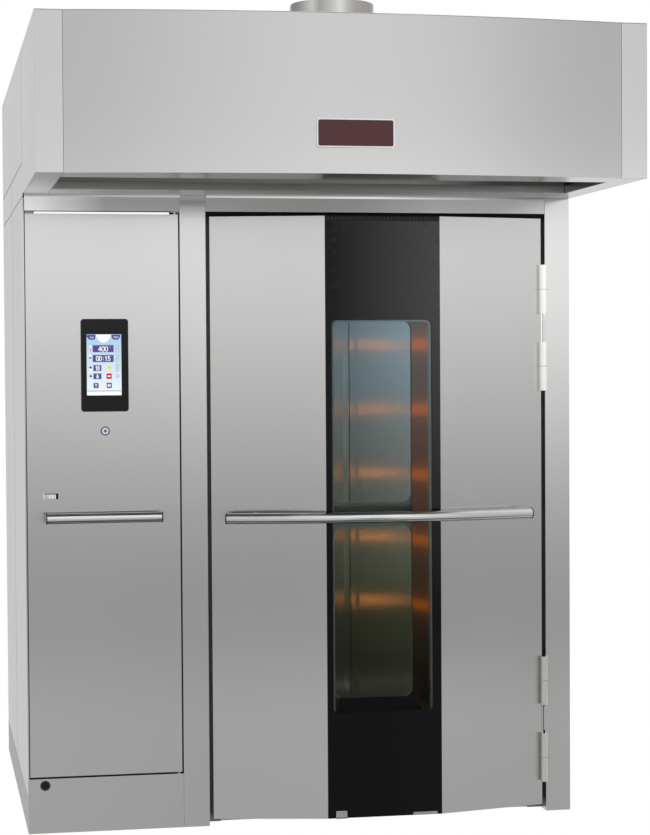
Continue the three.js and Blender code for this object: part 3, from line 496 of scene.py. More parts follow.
@dataclass(frozen=True)
class Coating(Finish):
    """Paint, plastic, rubber or zinc: a plain colour with a slight unevenness."""

    name: str
    colour: Colour
    roughness: float = 0.5
    metallic: float = 0.0
    mottle: float = 0.06
    texture: float = 60.0
    relief: float = 0.05
    shine: float = 0.5

    def build(self, graph: Graph) -> bpy.types.Material:
        """Build the coating.

        Args:
            graph: Empty graph to fill.

        Returns:
            The material.
        """
        shader = graph.principled(self.colour, self.roughness, self.metallic)
        shader.inputs["Specular IOR Level"].default_value = self.shine
        grain = graph.noise((self.texture,) * 3, 5.0)
        mix = graph.node("ShaderNodeMix", data_type="RGBA")
        mix.inputs["A"].default_value = (*(c * (1 - self.mottle) for c in self.colour), 1.0)
        mix.inputs["B"].default_value = (*(min(1.0, c * (1 + self.mottle)) for c in self.colour), 1.0)
        graph.link(grain, mix.inputs["Factor"])
        graph.link(mix.outputs["Result"], shader.inputs["Base Color"])
        roughness = graph.spread(grain, self.roughness - 0.04, self.roughness + 0.04)
        graph.link(roughness, shader.inputs["Roughness"])
        bump = graph.node("ShaderNodeBump")
        bump.inputs["Strength"].default_value = self.relief
        bump.inputs["Distance"].default_value = 0.0005
        graph.link(grain, bump.inputs["Height"])
        graph.link(bump.outputs[0], shader.inputs["Normal"])
        return graph.surface(shader.outputs[0])


@dataclass(frozen=True)
class ThinGlass(Finish):
    """Pane that tints what is behind it and mirrors the room a little."""

    name: str
    tint: Colour
    shine: float = 1.5

    def build(self, graph: Graph) -> bpy.types.Material:
        """Build the glass.

        Args:
            graph: Empty graph to fill.

        Returns:
            The material.
        """
        clear = graph.node("ShaderNodeBsdfTransparent")
        clear.inputs["Color"].default_value = (*self.tint, 1.0)
        gloss = graph.node("ShaderNodeBsdfGlossy")
        gloss.inputs["Roughness"].default_value = 0.02
        edge = graph.node("ShaderNodeFresnel")
        edge.inputs["IOR"].default_value = self.shine
        mix = graph.node("ShaderNodeMixShader")
        graph.link(edge.outputs[0], mix.inputs[0])
        graph.link(clear.outputs[0], mix.inputs[1])
        graph.link(gloss.outputs[0], mix.inputs[2])
        return graph.surface(mix.outputs[0])


@dataclass(frozen=True)
class Glow(Finish):
    """Something that gives light."""

    name: str
    colour: Colour
    strength: float = 1.0

    def build(self, graph: Graph) -> bpy.types.Material:
        """Build the light.

        Args:
            graph: Empty graph to fill.

        Returns:
            The material.
        """
        light = graph.node("ShaderNodeEmission")
        light.inputs["Color"].default_value = (*self.colour, 1.0)
        light.inputs["Strength"].default_value = self.strength
        return graph.surface(light.outputs[0])


@dataclass(frozen=True)
class Backlight(Finish):
    """Lit screen whose colour changes from its bottom to its top."""

    name: str
    low: Colour
    high: Colour
    span: Flat

    def build(self, graph: Graph) -> bpy.types.Material:
        """Build the backlight.

        Args:
            graph: Empty graph to fill.

        Returns:
            The material.
        """
        parts = graph.node("ShaderNodeSeparateXYZ")
        graph.link(graph.object_coordinates(), parts.inputs[0])
        height = graph.node("ShaderNodeMapRange")
        height.inputs["From Min"].default_value, height.inputs["From Max"].default_value = self.span
        graph.link(parts.outputs[2], height.inputs["Value"])
        mix = graph.node("ShaderNodeMix", data_type="RGBA")
        mix.inputs["A"].default_value = (*self.low, 1.0)
        mix.inputs["B"].default_value = (*self.high, 1.0)
        graph.link(height.outputs[0], mix.inputs["Factor"])
        light = graph.node("ShaderNodeEmission")
        graph.link(mix.outputs["Result"], light.inputs["Color"])
        return graph.surface(light.outputs[0])


PANEL = BrushedSteel("panel steel")
SIDE = JointedSteel("side steel", joints=(
    (2, 2.066, 0.0022, 0.25), (2, 2.174, 0.0022, 0.25), (2, 0.1172, 0.0022, 0.2), (1, 0.4245, 0.012, 0.6),
    (0, -0.9091, 0.0014, 0.2)))
CASING = JointedSteel("casing steel", joints=((2, 2.174, 0.0022, 0.25), (1, -0.3545, 0.018, 0.55)))
PANEL_ACROSS = BrushedSteel("panel steel across", grain=Grain.ACROSS)
POLISHED = BrushedSteel("polished steel", (0.72, 0.72, 0.71), 0.17, Grain.ACROSS, 0.3, 0.01, 0.01, 0.003)
NO_BANDS = ((0.0, (0.0, 0.0, 0.0)), (3.0, (0.0, 0.0, 0.0)))
# Hinge steel with a painted highlight: a white glow painted on that grows with height.
HINGE_PAINTED_HIGHLIGHT = PaintedLight(
    "hinge steel with painted highlight", (0.76, 0.745, 0.7), 0.2, Grain.UPRIGHT, 0.3, 0.01, 0.01, 0.003,
    haze=((0.55, (0.0, 0.0, 0.0)), (1.4, (0.25, 0.25, 0.25)), (1.85, (0.3, 0.3, 0.3))),
    glow=NO_BANDS,
)
# Dark collar steel with painted highlight streaks: white light painted on in bands across its width.
COLLAR_PAINTED_HIGHLIGHTS = PaintedLight(
    "collar steel with painted highlights", (0.2, 0.19, 0.18), 0.22, Grain.ACROSS, 0.5, 0.05, 0.02, 0.1,
    haze=((2.5, (1.0, 0.98, 0.97)), (2.62, (1.0, 0.98, 0.97))), glow=NO_BANDS,
    across=((-0.127, 0.0), (-0.08, 0.4), (-0.06, 0.2), (0.0, 0.5), (0.05, 0.2), (0.127, 0.1)),
)
LINER = BrushedSteel("liner steel", (0.46, 0.48, 0.49), 0.17, Grain.UPRIGHT, 0.93, 0.008, 0.01, 0.002, 0.8)
# A darker copy of the liner steel, used as painted shade on the door core, the door jamb and the lamp column.
SHADED_LINER = BrushedSteel("liner steel darkened as painted shade", (0.2, 0.19, 0.17), 0.34, Grain.UPRIGHT, 0.6, 0.03, 0.04, 0.01)
BRONZED = BrushedSteel(
    "heat tinted steel", (0.42, 0.24, 0.14), 0.26, Grain.UPRIGHT, 0.8, 0.04, 0.04, 0.02, 0.95,
)
# Window lining with painted light: a haze that brightens upwards and orange bands painted at even steps up it,
# standing in for the lamps' light and its reflections.
WELL_PAINTED_LIGHT = PaintedLight(
    "lining with painted lamp light", (0.25, 0.14, 0.08), 0.26, Grain.UPRIGHT, 0.8,
    haze=((0.5, (0.003, 0.002, 0.001)), (0.8, (0.04, 0.02, 0.01)), (1.2, (0.09, 0.04, 0.03)),
          (1.6, (0.11, 0.1, 0.1))),
    glow=((0.6, (0.0, 0.0, 0.0)), (0.7, (0.25, 0.05, 0.0)), (1.6, (0.45, 0.08, 0.0))),
    dim=0.3,
)
# Back wall steel with painted light: a haze that brightens upwards and to the right, dimmed a little in even
# bands, painted on in place of the lamps' light.
BACK_WALL_PAINTED_LIGHT = PaintedLight(
    "back wall steel with painted light", (0.42, 0.38, 0.3), 0.17, Grain.UPRIGHT, 0.93, 0.008, 0.01, 0.002, 0.8,
    haze=((0.3, (0.025, 0.025, 0.015)), (0.5, (0.04, 0.04, 0.02)), (0.8, (0.12, 0.11, 0.08)),
          (1.2, (0.2, 0.2, 0.2)), (1.6, (0.27, 0.33, 0.4))),
    glow=NO_BANDS, across=((0.45, 0.7), (0.7, 1.2)),
    first=0.583, pitch=0.251, dim=0.15,
)
# Pane spacer with painted light: a haze brightening upwards and to the right, with faint orange bands painted at
# even steps of height.
SPACER_PAINTED_LIGHT = PaintedLight(
    "pane spacer with painted light", (0.2, 0.2, 0.2), 0.3, Grain.UPRIGHT, 0.5,
    haze=((0.5, (0.01, 0.01, 0.01)), (0.8, (0.04, 0.04, 0.03)), (1.2, (0.06, 0.06, 0.06)),
          (1.6, (0.1, 0.12, 0.14))),
    glow=((0.0, (0.0, 0.0, 0.0)), (0.9, (0.04, 0.02, 0.0)), (1.6, (0.04, 0.02, 0.0))),
    across=((0.15, 0.22), (0.35, 1.0)),
)
DOOR_LINER = BrushedSteel(
    "door liner steel", (0.4, 0.36, 0.32), 0.26, Grain.UPRIGHT, 0.8, 0.004, 0.01, 0.002, 0.95,
)
# Header steel with a painted highlight: a glow painted on at its left end and a faint one right of the middle.
HEADER_PAINTED_HIGHLIGHT = PaintedLight(
    "header steel with painted highlight", (0.72, 0.72, 0.715), 0.24, Grain.ACROSS, 0.6, metallic=0.7,
    haze=((1.9, (0.32, 0.32, 0.325)), (2.2, (0.32, 0.32, 0.325))), glow=NO_BANDS,
    across=((-0.85, 1.0), (-0.65, 0.0), (0.2, 0.0), (0.45, 0.2), (0.75, 0.0)),
)
# Post steel with a painted highlight: a thin glow painted on near the post's top.
POST_PAINTED_HIGHLIGHT = PaintedLight(
    "post steel with painted highlight", haze=((2.01, (0.0, 0.0, 0.0)), (2.035, (0.15, 0.15, 0.15)), (2.06, (0.05, 0.05, 0.05))),
    glow=NO_BANDS,
)
# Dark baffle steel with painted light: a faint glow painted on, strongest right of the middle and gone at the
# right end.
BAFFLE_PAINTED_LIGHT = PaintedLight(
    "baffle steel with painted light", (0.1, 0.095, 0.085), 0.34, Grain.UPRIGHT, 0.6, 0.03, 0.04, 0.01,
    haze=((2.0, (1.0, 0.95, 0.88)), (2.6, (1.0, 0.95, 0.88))), glow=NO_BANDS,
    across=((-0.9, 0.03), (0.35, 0.1), (0.6, 0.0)),
)
# Header edge with painted light: a glow painted on, strongest right of the middle.
LEDGE_PAINTED_LIGHT = PaintedLight(
    "header edge with painted light", (0.2, 0.2, 0.2), 0.3, Grain.ACROSS, 0.5,
    haze=((1.9, (1.0, 0.96, 0.94)), (2.2, (1.0, 0.96, 0.94))), glow=NO_BANDS,
    across=((-0.9, 0.25), (0.25, 0.7), (0.75, 0.15)),
)
# A strip that glows white as a painted highlight, in place of a bright reflection.
PAINTED_HIGHLIGHT_STRIP = Glow("strip with painted highlight", (0.95, 0.95, 0.95))
ZINC = Coating("zinc", (0.42, 0.44, 0.45), 0.42, 0.8, 0.18, 18.0, 0.05)
ENCLOSURE = Coating("enclosure paint", (0.42, 0.43, 0.43), 0.4, 0.0, 0.04, 400.0, 0.2)
MOTOR_PAINT = Coating("motor paint", (0.05, 0.09, 0.14), 0.38, 0.0, 0.1, 300.0, 0.2)
BLACK_GLASS = Coating("black glass", (0.004, 0.0045, 0.005), 0.06, mottle=0.0, relief=0.0, shine=0.25)
FRIT = Coating("black enamel on glass", (0.002, 0.002, 0.002), 0.05, mottle=0.0, relief=0.0, shine=0.31)
BLACK_PLASTIC = Coating("black plastic", (0.012, 0.012, 0.012), 0.45, 0.0, 0.1, 500.0, 0.2)
RUBBER = Coating("rubber", (0.012, 0.012, 0.012), 0.75, 0.0, 0.15, 300.0, 0.2)
MAROON = Coating("maroon enamel", (0.075, 0.004, 0.008), 0.2, mottle=0.02, texture=8.0, relief=0.0)
SMOKED = ThinGlass("smoked glass", (0.79, 0.84, 0.84), 1.18)
CLEAR = ThinGlass("clear glass", (0.9, 0.92, 0.91), 1.18)
LAMP = Glow("warm lamp", (1.0, 0.3, 0.06), 19.0)
# Near-black coating for the plate laid on the window lining's lower face: painted shade.
SHADED_SILL = Coating("window sill with painted shade", (0.016, 0.011, 0.008), 0.6, mottle=0.05, relief=0.0, shine=0.12)
SEAM = Coating("shadowed seam", (0.02, 0.02, 0.02), 0.8, mottle=0.0, relief=0.0, shine=0.1)
SCREEN_LIGHT = Backlight("screen light", linear(238, 247, 252), linear(176, 214, 240), (1.44, 1.61))
SCREEN_PURPLE = Glow("screen purple", linear(92, 84, 150))
SCREEN_LILAC = Glow("screen lilac", linear(176, 164, 214))
SCREEN_WHITE = Glow("screen white", linear(255, 255, 255))
SCREEN_RED = Glow("screen red", linear(212, 40, 66))
SCREEN_YELLOW = Glow("screen yellow", linear(244, 246, 176))
SCREEN_GREEN = Glow("screen green", linear(196, 208, 84))
SCREEN_NAVY = Glow("screen navy", linear(34, 38, 72))
SCREEN_GREY = Glow("screen grey", linear(142, 150, 196))
BUTTON_LIGHT = Glow("button light", linear(206, 228, 248))
BUTTON_CAP = Coating("button cap", linear(98, 108, 138), 0.3, mottle=0.02, relief=0.0)
BUTTON_MARK = Glow("button mark", linear(176, 132, 152))
DARK_CHROME = BrushedSteel("dark chrome", (0.2, 0.19, 0.25), 0.2, Grain.ACROSS, 0.0, 0.01, 0.01, 0.0)


# ---------------------------------------------------------------- shapes
class Shape:
    """A mesh under construction, in millimetres from the cabinet's left front corner."""

    def __init__(self) -> None:
        """Start with nothing."""
        self.bm = bmesh.new()

    def box(self, low: Point, high: Point) -> "Shape":
        """Add a box.

        Args:
            low: Lowest corner.
            high: Highest corner.

        Returns:
            The shape.
        """
        middle = (Vector(low) + Vector(high)) / 2
        size = Vector(high) - Vector(low)
        matrix = Matrix.Translation(middle) @ Matrix.Diagonal((*size, 1.0))
        bmesh.ops.create_cube(self.bm, size=1.0, matrix=matrix)
        return self

    def rod(self, start: Point, end: Point, r: float, sides: int = 32,
            end_r: Optional[float] = None) -> "Shape":
        """Add a round bar or cone.

        Args:
            start: Middle of the first end.
            end: Middle of the other end.
            r: Radius.
            sides: Number of facets.
            end_r: Radius at the other end, if it differs.

        Returns:
            The shape.
        """
        axis = Vector(end) - Vector(start)
        turn = axis.to_track_quat("Z", "Y").to_matrix().to_4x4()
        matrix = Matrix.Translation((Vector(start) + Vector(end)) / 2) @ turn
        bmesh.ops.create_cone(self.bm, cap_ends=True, cap_tris=False, segments=sides, radius1=r,
                              radius2=r if end_r is None else end_r, depth=axis.length, matrix=matrix)
        return self

    def plate(self, outline: Sequence[Flat], plane: Plane, w: Flat) -> "Shape":
        """Add a flat outline raised to a thickness.

        Args:
            outline: Points of the outline.
            plane: Plane they lie in.
            w: Lowest and highest value along the axis it is raised along.

        Returns:
            The shape.
        """
        corners = [self.bm.verts.new(plane.point(u, v, w[0])) for u, v in outline]
        face = self.bm.faces.new(corners)
        raised = bmesh.ops.extrude_face_region(self.bm, geom=[face])
        moved = [g for g in raised["geom"] if isinstance(g, bmesh.types.BMVert)]
        bmesh.ops.translate(self.bm, verts=moved, vec=plane.point(0, 0, w[1] - w[0]))
        return self

    def ring(self, outer: Sequence[Flat], inner: Sequence[Flat], plane: Plane, w: Flat) -> "Shape":
        """Add a flat frame between two outlines of as many points.

        Args:
            outer: Points of the outer outline.
            inner: Points of the inner outline, in the same order.
            plane: Plane they lie in.
            w: Lowest and highest value along the axis it is raised along.

        Returns:
            The shape.
        """
        loops = [[self.bm.verts.new(plane.point(u, v, z)) for u, v in points]
                 for points, z in ((outer, w[0]), (outer, w[1]), (inner, w[1]), (inner, w[0]))]
        count = len(loops[0])
        for i, loop in enumerate(loops):
            after = loops[(i + 1) % len(loops)]
            for j in range(count):
                k = (j + 1) % count
                self.bm.faces.new((loop[j], loop[k], after[k], after[j]))
        return self

    def funnel(self, outer: Sequence[Flat], front: Sequence[Flat], rear: Sequence[Flat], y: Flat) -> "Shape":
        """Add a lining whose opening narrows from front to rear.

        Args:
            outer: Outline of its outside.
            front: Outline of the opening at the front, in the same order.
            rear: Outline of the opening at the rear.
            y: Front and rear.

        Returns:
            The shape.
        """
        loops = [[self.bm.verts.new(Plane.FRONT.point(u, v, w)) for u, v in points]
                 for points, w in ((outer, y[0]), (outer, y[1]), (rear, y[1]), (front, y[0]))]
        for loop, after in zip(loops, loops[1:] + loops[:1]):
            for j, k in zip(range(len(loop)), [*range(1, len(loop)), 0]):
                self.bm.faces.new((loop[j], loop[k], after[k], after[j]))
        return self

    def copy_of(self, node: str) -> "Shape":
        """Add a CAD node's own shape, with its flat faces whole again.

        Args:
            node: Name of the node.

        Returns:
            The shape.
        """
        self.bm.from_mesh(bpy.data.objects[node].data)
        self.bm.transform(Matrix.Translation(-CABINET_CORNER) @ Matrix.Scale(1 / MM, 4))
        bmesh.ops.remove_doubles(self.bm, verts=self.bm.verts, dist=0.01)
        bmesh.ops.dissolve_limit(
            self.bm, angle_limit=math.radians(1.0), verts=self.bm.verts, edges=self.bm.edges)
        return self

    def bevelled(self, width: float, sharp: float = 30.0, segments: int = 2) -> "Shape":
        """Round the sharp edges.

        Args:
            width: Width of the rounding.
            sharp: Least angle between faces, in degrees, that is rounded.
            segments: Steps of the rounding.

        Returns:
            The shape.
        """
        bmesh.ops.recalc_face_normals(self.bm, faces=self.bm.faces)
        edges = [e for e in self.bm.edges if e.is_manifold and e.calc_face_angle(0.0) > math.radians(sharp)]
        bmesh.ops.bevel(self.bm, geom=edges, offset=width, offset_type="OFFSET", segments=segments, profile=0.5,
                        affect="EDGES", clamp_overlap=True)
        return self

    def finished(self, name: str, finish: Finish, body: str, slot: Optional[str] = None,
                 smooth: float = 32.0) -> bpy.types.Object:
        """Turn the shape into a piece of the oven.

        Args:
            name: Name of the piece.
            finish: Its surface.
            body: CAD body that it moves with.
            slot: Not used.
            smooth: Least angle between faces, in degrees, that shows as an edge.

        Returns:
            The piece.
        """
        bmesh.ops.recalc_face_normals(self.bm, faces=self.bm.faces)
        self.bm.transform(Matrix.Scale(MM, 4) @ Matrix.Translation(CABINET_CORNER))
        mesh = bpy.data.meshes.new(name)
        self.bm.to_mesh(mesh)
        self.bm.free()
        level_shading(mesh, math.radians(smooth))
        mesh.materials.append(finish.material())
        piece = bpy.data.objects.new(name, mesh)
        bpy.context.scene.collection.objects.link(piece)
        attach(piece, body)
        LOG.info("%s: %d faces on %s", name, len(mesh.polygons), body)
        return piece


def level_shading(mesh: bpy.types.Mesh, sharp: float) -> None:
    """Shade a mesh smoothly, with large flat faces kept flat beside their rounded edges.

    Args:
        mesh: The mesh.
        sharp: Least angle between faces, in radians, that shows as an edge.
    """
    around: list[list[bpy.types.MeshPolygon]] = [[] for _ in mesh.vertices]
    for face in mesh.polygons:
        for vertex in face.vertices:
            around[vertex].append(face)
    least = math.cos(sharp)
    normals = []
    for face in mesh.polygons:
        own = face.normal.copy()
        for vertex in face.vertices:
            near = [other for other in around[vertex] if other.normal.dot(own) > least]
            total = sum((other.normal * other.area for other in near), Vector())
            normals.append(total.normalized() if total.length > 0.0 else own)
    mesh.shade_smooth()
    mesh.normals_split_custom_set(normals)


class Assembly:
    """A part of the oven: repaints its CAD nodes, swaps some for softened copies, and adds pieces."""

    body = "frame"

    def paint(self, finish: Finish, *nodes: str) -> None:
        """Give CAD nodes a finish.

        Args:
            finish: The finish.
            nodes: Names of the nodes.
        """
        for node in nodes:
            mesh = bpy.data.objects[node].data
            mesh.materials.clear()
            mesh.materials.append(finish.material())

    def soften(self, finish: Finish, slot: str, width: float, *nodes: str,
               body: Optional[str] = None) -> None:
        """Swap CAD nodes for copies whose sharp edges are rounded.

        Args:
            finish: The copies' finish.
            slot: Material slot that the copies' finish stands for.
            width: Width of the rounding.
            nodes: Names of the nodes.
            body: CAD body that they move with, if it isn't the assembly's own.
        """
        for node in nodes:
            shape = Shape().copy_of(node).bevelled(width)
            piece = shape.finished(f"{node}_look", finish, body or self.body, slot)
            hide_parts(node)


# ---------------------------------------------------------------- cabinet
@dataclass
class Cabinet(Assembly):
    """Panels, posts and base."""

    edge: float = 0.7
    hinge_gaps: tuple[Flat, ...] = ((1594.0, 1678.0), (276.0, 358.0))
    hinge_joints: tuple[float, ...] = (1768.0, 1509.5, 447.0, 186.0)

    def build(self) -> None:
        """Build the cabinet's looks."""
        self.soften(SIDE, "stainless", self.edge,
                    "left_side_panel_front", "left_side_panel_rear", "waist_band")
        self.soften(CASING, "stainless", self.edge, "casing_wall")
        self.soften(PANEL, "stainless", self.edge, "right_side_panel", "back_panel", "right_post", "kick_panel")
        # The centre post's finish carries a painted highlight near its top.
        self.soften(POST_PAINTED_HIGHLIGHT, "stainless", self.edge, "centre_post")
        # A near-black strip in the gap above the main door: painted shadow.
        head = Shape().box((597.0, 6.0, 2007.0), (1746.0, 9.0, 2021.5))
        head.finished("door_head_shadow", SEAM, self.body)
        cover = Shape().box((7.0, -0.4, 2012.2), (34.0, 5.0, 2019.0)).bevelled(0.8)
        cover.finished("access_pivot_cover", ENCLOSURE, "access_door")
        # The header's finish carries a painted highlight at its left end.
        self.soften(HEADER_PAINTED_HIGHLIGHT, "stainless", self.edge, "header_left", "header_right")
        self.soften(PANEL_ACROSS, "stainless", self.edge, "casing_roof")
        self.paint(ZINC, "base_frame")
        self.soften(POLISHED, "bright_stainless", 0.4, "access_pivot_bracket")
        # The header's lower edge strip gets painted light along its length.
        edge = Shape()
        for left, right in ((6.5, 509.0), (596.5, 1746.5)):
            edge.box((left, -1.6, 2067.5), (right, 0.0, 2073.5))
        edge.bevelled(0.7).finished("header_edge", LEDGE_PAINTED_LIGHT, self.body, "stainless")
        corner = Shape().box((1827.5, 0.5, 2075.0), (1828.8, 65.8, 2173.4))
        corner.finished("waist_band_corner", PANEL, self.body, "stainless")
        pan = Shape().box((8.0, 6.0, 8.0), (590.0, 1568.0, 9.5))
        pan.finished("service_bay_pan", ZINC, self.body, "galvanised")
        self.hinge_strips()
        self.grommet()

    def hinge_strips(self) -> None:
        """Close the door gap between the hinges and put brass washers between their knuckles."""
        strips, washers = Shape(), Shape()
        for low, high in self.hinge_gaps:
            strips.box((1735.6, -3.0, low), (1744.4, 3.0, high))
        strips.bevelled(0.8).finished("hinge_gap_strips", PANEL, self.body, "bright_stainless")
        for z in self.hinge_joints:
            washers.rod((1737.0, -16.0, z - 0.48), (1737.0, -16.0, z + 0.48), 13.6, 32)
        washers.finished("hinge_washers", BRONZED, self.body)

    def grommet(self) -> None:
        """Close the kick panel's hole with a rubber grommet ring and a membrane."""
        ring = Shape().ring(circle(55, 156, 16.5), circle(55, 156, 11.0), Plane.FRONT, (-1.6, 3.4))
        ring.bevelled(0.7)
        ring.finished("kick_grommet", RUBBER, self.body, "rubber")
        membrane = Shape().plate(circle(55, 156, 12.0), Plane.FRONT, (0.4, 1.4))
        membrane.finished("kick_grommet_membrane", SEAM, self.body, "rubber")


# ---------------------------------------------------------------- hood
@dataclass
class Hood(Assembly):
    """Exhaust hood with its blank name plate."""

    edge: float = 0.8
    plate_x: Flat = (805.0, 1037.0)
    plate_z: Flat = (2149.0, 2234.0)
    front: float = -864.0

    def build(self) -> None:
        """Build the hood's looks."""
        self.soften(PANEL, "stainless", self.edge, "hood_front_panel", "hood_end_left", "hood_end_right")
        self.soften(PANEL_ACROSS, "stainless", self.edge, "hood_roof", "hood_ledge")
        # The baffle gets faint painted light and the exhaust collar painted highlight streaks.
        self.paint(BAFFLE_PAINTED_LIGHT, "hood_baffle")
        self.soften(COLLAR_PAINTED_HIGHLIGHTS, "bright_stainless", 0.4, "exhaust_collar")
        self.name_plate()

    def name_plate(self) -> None:
        """Fix a blank enamel plate in a steel rim to the front panel."""
        outer = rounded(self.plate_x, self.plate_z, 9.0)
        rim_width = 5
        (left, right), (low, high) = self.plate_x, self.plate_z
        inner = rounded((left + rim_width, right - rim_width), (low + rim_width, high - rim_width), 5.0)
        rim = Shape().ring(outer, inner, Plane.FRONT, (self.front - 2.6, self.front + 3.2)).bevelled(0.8)
        rim.finished("name_plate_rim", POLISHED, self.body, "bright_stainless")
        face = Shape().plate(inner, Plane.FRONT, (self.front - 1.4, self.front + 3.0))
        face.finished("name_plate_enamel", MAROON, self.body)


# ---------------------------------------------------------------- main door
@dataclass
class MainDoor(Assembly):
    """Bay door with its glass, handle and hinges."""

    body = "main_door"
    glass_x: Flat = (975.6, 1360.4)
    glass_z: Flat = (23.0, 1990.4)
    glass_y: Flat = (-80.0, -75.0)
    clear_x: Flat = (996.0, 1332.0)
    clear_z: Flat = (372.0, 1665.0)
    bar_x: Flat = (644.0, 1670.0)
    bar_y: float = -80.0
    bar_z: float = 1020.0
    bar_slope: float = 0.2712

    def build(self) -> None:
        """Build the door's looks."""
        self.soften(PANEL, "stainless", 0.5, "door_skin_left", "door_skin_right")
        # The door core is painted in darker liner steel as shade.
        self.paint(SHADED_LINER, "door_core")
        self.paint(DOOR_LINER, "door_liner")
        self.paint(RUBBER, "door_gasket")
        self.paint(BLACK_PLASTIC, "door_vent_strip")
        self.paint(CLEAR, "door_inner_glass")
        self.outer_glass()
        self.shroud()
        self.soften(POLISHED, "bright_stainless", 0.4, "door_handle")
        self.handle_ends()
        self.foot()
        # The hinge leaves get a painted highlight that brightens with height.
        self.soften(HINGE_PAINTED_HIGHLIGHT, "bright_stainless", 0.5, "hinge_upper_door_leaf", "hinge_lower_door_leaf")
        self.soften(HINGE_PAINTED_HIGHLIGHT, "bright_stainless", 0.5, "hinge_upper_frame_leaf", "hinge_lower_frame_leaf",
                    body="frame")

    def handle_ends(self) -> None:
        """Cap the bowed tube with black rings and steel discs that follow its slope."""
        for side, x, out in (("left", self.bar_x[0], -1.0), ("right", self.bar_x[1], 1.0)):
            along = Vector((out * math.cos(self.bar_slope), math.sin(self.bar_slope), 0.0))
            end = Vector((x, self.bar_y, self.bar_z))
            ring = Shape().rod(end - along * 2.5, end + along * 1.5, 18.5, 40).bevelled(0.6)
            ring.finished(f"main_handle_ring_{side}", BLACK_PLASTIC, self.body, "black_plastic")
            dome = Shape().rod(end + along * 1.5, end + along * 3.2, 16.5, 40, 13.0).bevelled(0.5)
            dome.finished(f"main_handle_cap_{side}", POLISHED, self.body, "bright_stainless")

    def foot(self) -> None:
        """Clip the outer pane at its lower edge and fix the sweep's holder under it."""
        clip = Shape().box((1002.0, -81.6, 25.0), (1039.0, -80.0, 47.0))
        clip.box((1002.0, -81.6, 21.2), (1039.0, -72.0, 22.8))
        clip.bevelled(0.5).finished("glass_clip", POLISHED, self.body, "bright_stainless")
        holder = Shape().box((1263.0, -81.4, 24.0), (1345.0, -80.0, 33.0))
        holder.bevelled(0.4).finished("sweep_holder", ZINC, self.body, "galvanised")
        screws = Shape()
        for x in (1276.0, 1332.0):
            screws.rod((x, -81.4, 28.5), (x, -82.6, 28.5), 3.0, 16)
        screws.bevelled(0.4).finished("sweep_holder_screws", POLISHED, self.body, "bright_stainless")

    def outer_glass(self) -> None:
        """Build the outer pane: a black border round a clear field."""
        outer = rounded(self.glass_x, self.glass_z, 1.5)
        inner = rounded(self.clear_x, self.clear_z, 16.0)
        border = Shape().ring(outer, inner, Plane.FRONT, self.glass_y)
        piece = border.finished("outer_glass_border", FRIT, self.body, "black_glass")
        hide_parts("door_outer_glass")
        middle = sum(self.glass_y) / 2
        pane = Shape().plate(inner, Plane.FRONT, (middle - 0.2, middle + 0.2))
        pane.finished("outer_glass_field", SMOKED, self.body, "black_glass")

    def shroud(self) -> None:
        """Line the opening between the panes, narrowing towards the inner one. The lining and the spacer carry
        painted lamp light, and a near-black sill laid on the lining's lower face is painted shade.
        """
        outer = rounded((998.3, 1329.7), (357.3, 1664.7), 20.0)
        front = rounded((999.3, 1328.7), (358.3, 1663.7), 19.0)
        rear = rounded((1022.0, 1294.0), (397.0, 1662.0), 29.0)
        lining = Shape().funnel(outer, front, rear, (-45.0, 50.0))
        lining.finished("window_lining", WELL_PAINTED_LIGHT, self.body)
        # A near-black plate laid on the lining's lower face: painted shade.
        slope = [(-44.0, 359.6), (49.0, 397.6), (49.0, 398.6), (-44.0, 360.6)]
        sill = Shape().plate(slope, Plane.SIDE, (1020.0, 1302.0))
        sill.finished("window_sill_shade", SHADED_SILL, self.body)
        hole = rounded((1002.5, 1325.5), (361.5, 1660.5), 16.0)
        spacer = Shape().ring(outer, hole, Plane.FRONT, (-74.9, -46.0))
        spacer.finished("pane_spacer", SPACER_PAINTED_LIGHT, self.body)


# ---------------------------------------------------------------- access door
GLYPHS: dict[str, tuple[tuple[Flat, ...], ...]] = {
    "0": (((0.3, 0.0), (0.7, 0.0), (1.0, 0.2), (1.0, 0.8), (0.7, 1.0), (0.3, 1.0), (0.0, 0.8), (0.0, 0.2),
           (0.3, 0.0)),),
    "1": (((0.15, 0.25), (0.55, 0.0), (0.55, 1.0)),),
    "4": (((0.75, 1.0), (0.75, 0.0), (0.0, 0.68), (1.0, 0.68)),),
    "5": (((0.95, 0.0), (0.15, 0.0), (0.08, 0.45), (0.6, 0.4), (1.0, 0.6), (0.95, 0.85), (0.6, 1.0),
           (0.05, 0.92)),),
    "6": (((0.85, 0.0), (0.35, 0.15), (0.05, 0.55), (0.05, 0.82), (0.3, 1.0), (0.7, 1.0), (0.98, 0.82),
           (0.98, 0.6), (0.7, 0.42), (0.3, 0.45), (0.05, 0.65)),),
    ":": (((0.5, 0.25), (0.5, 0.3)), ((0.5, 0.75), (0.5, 0.8))),
}


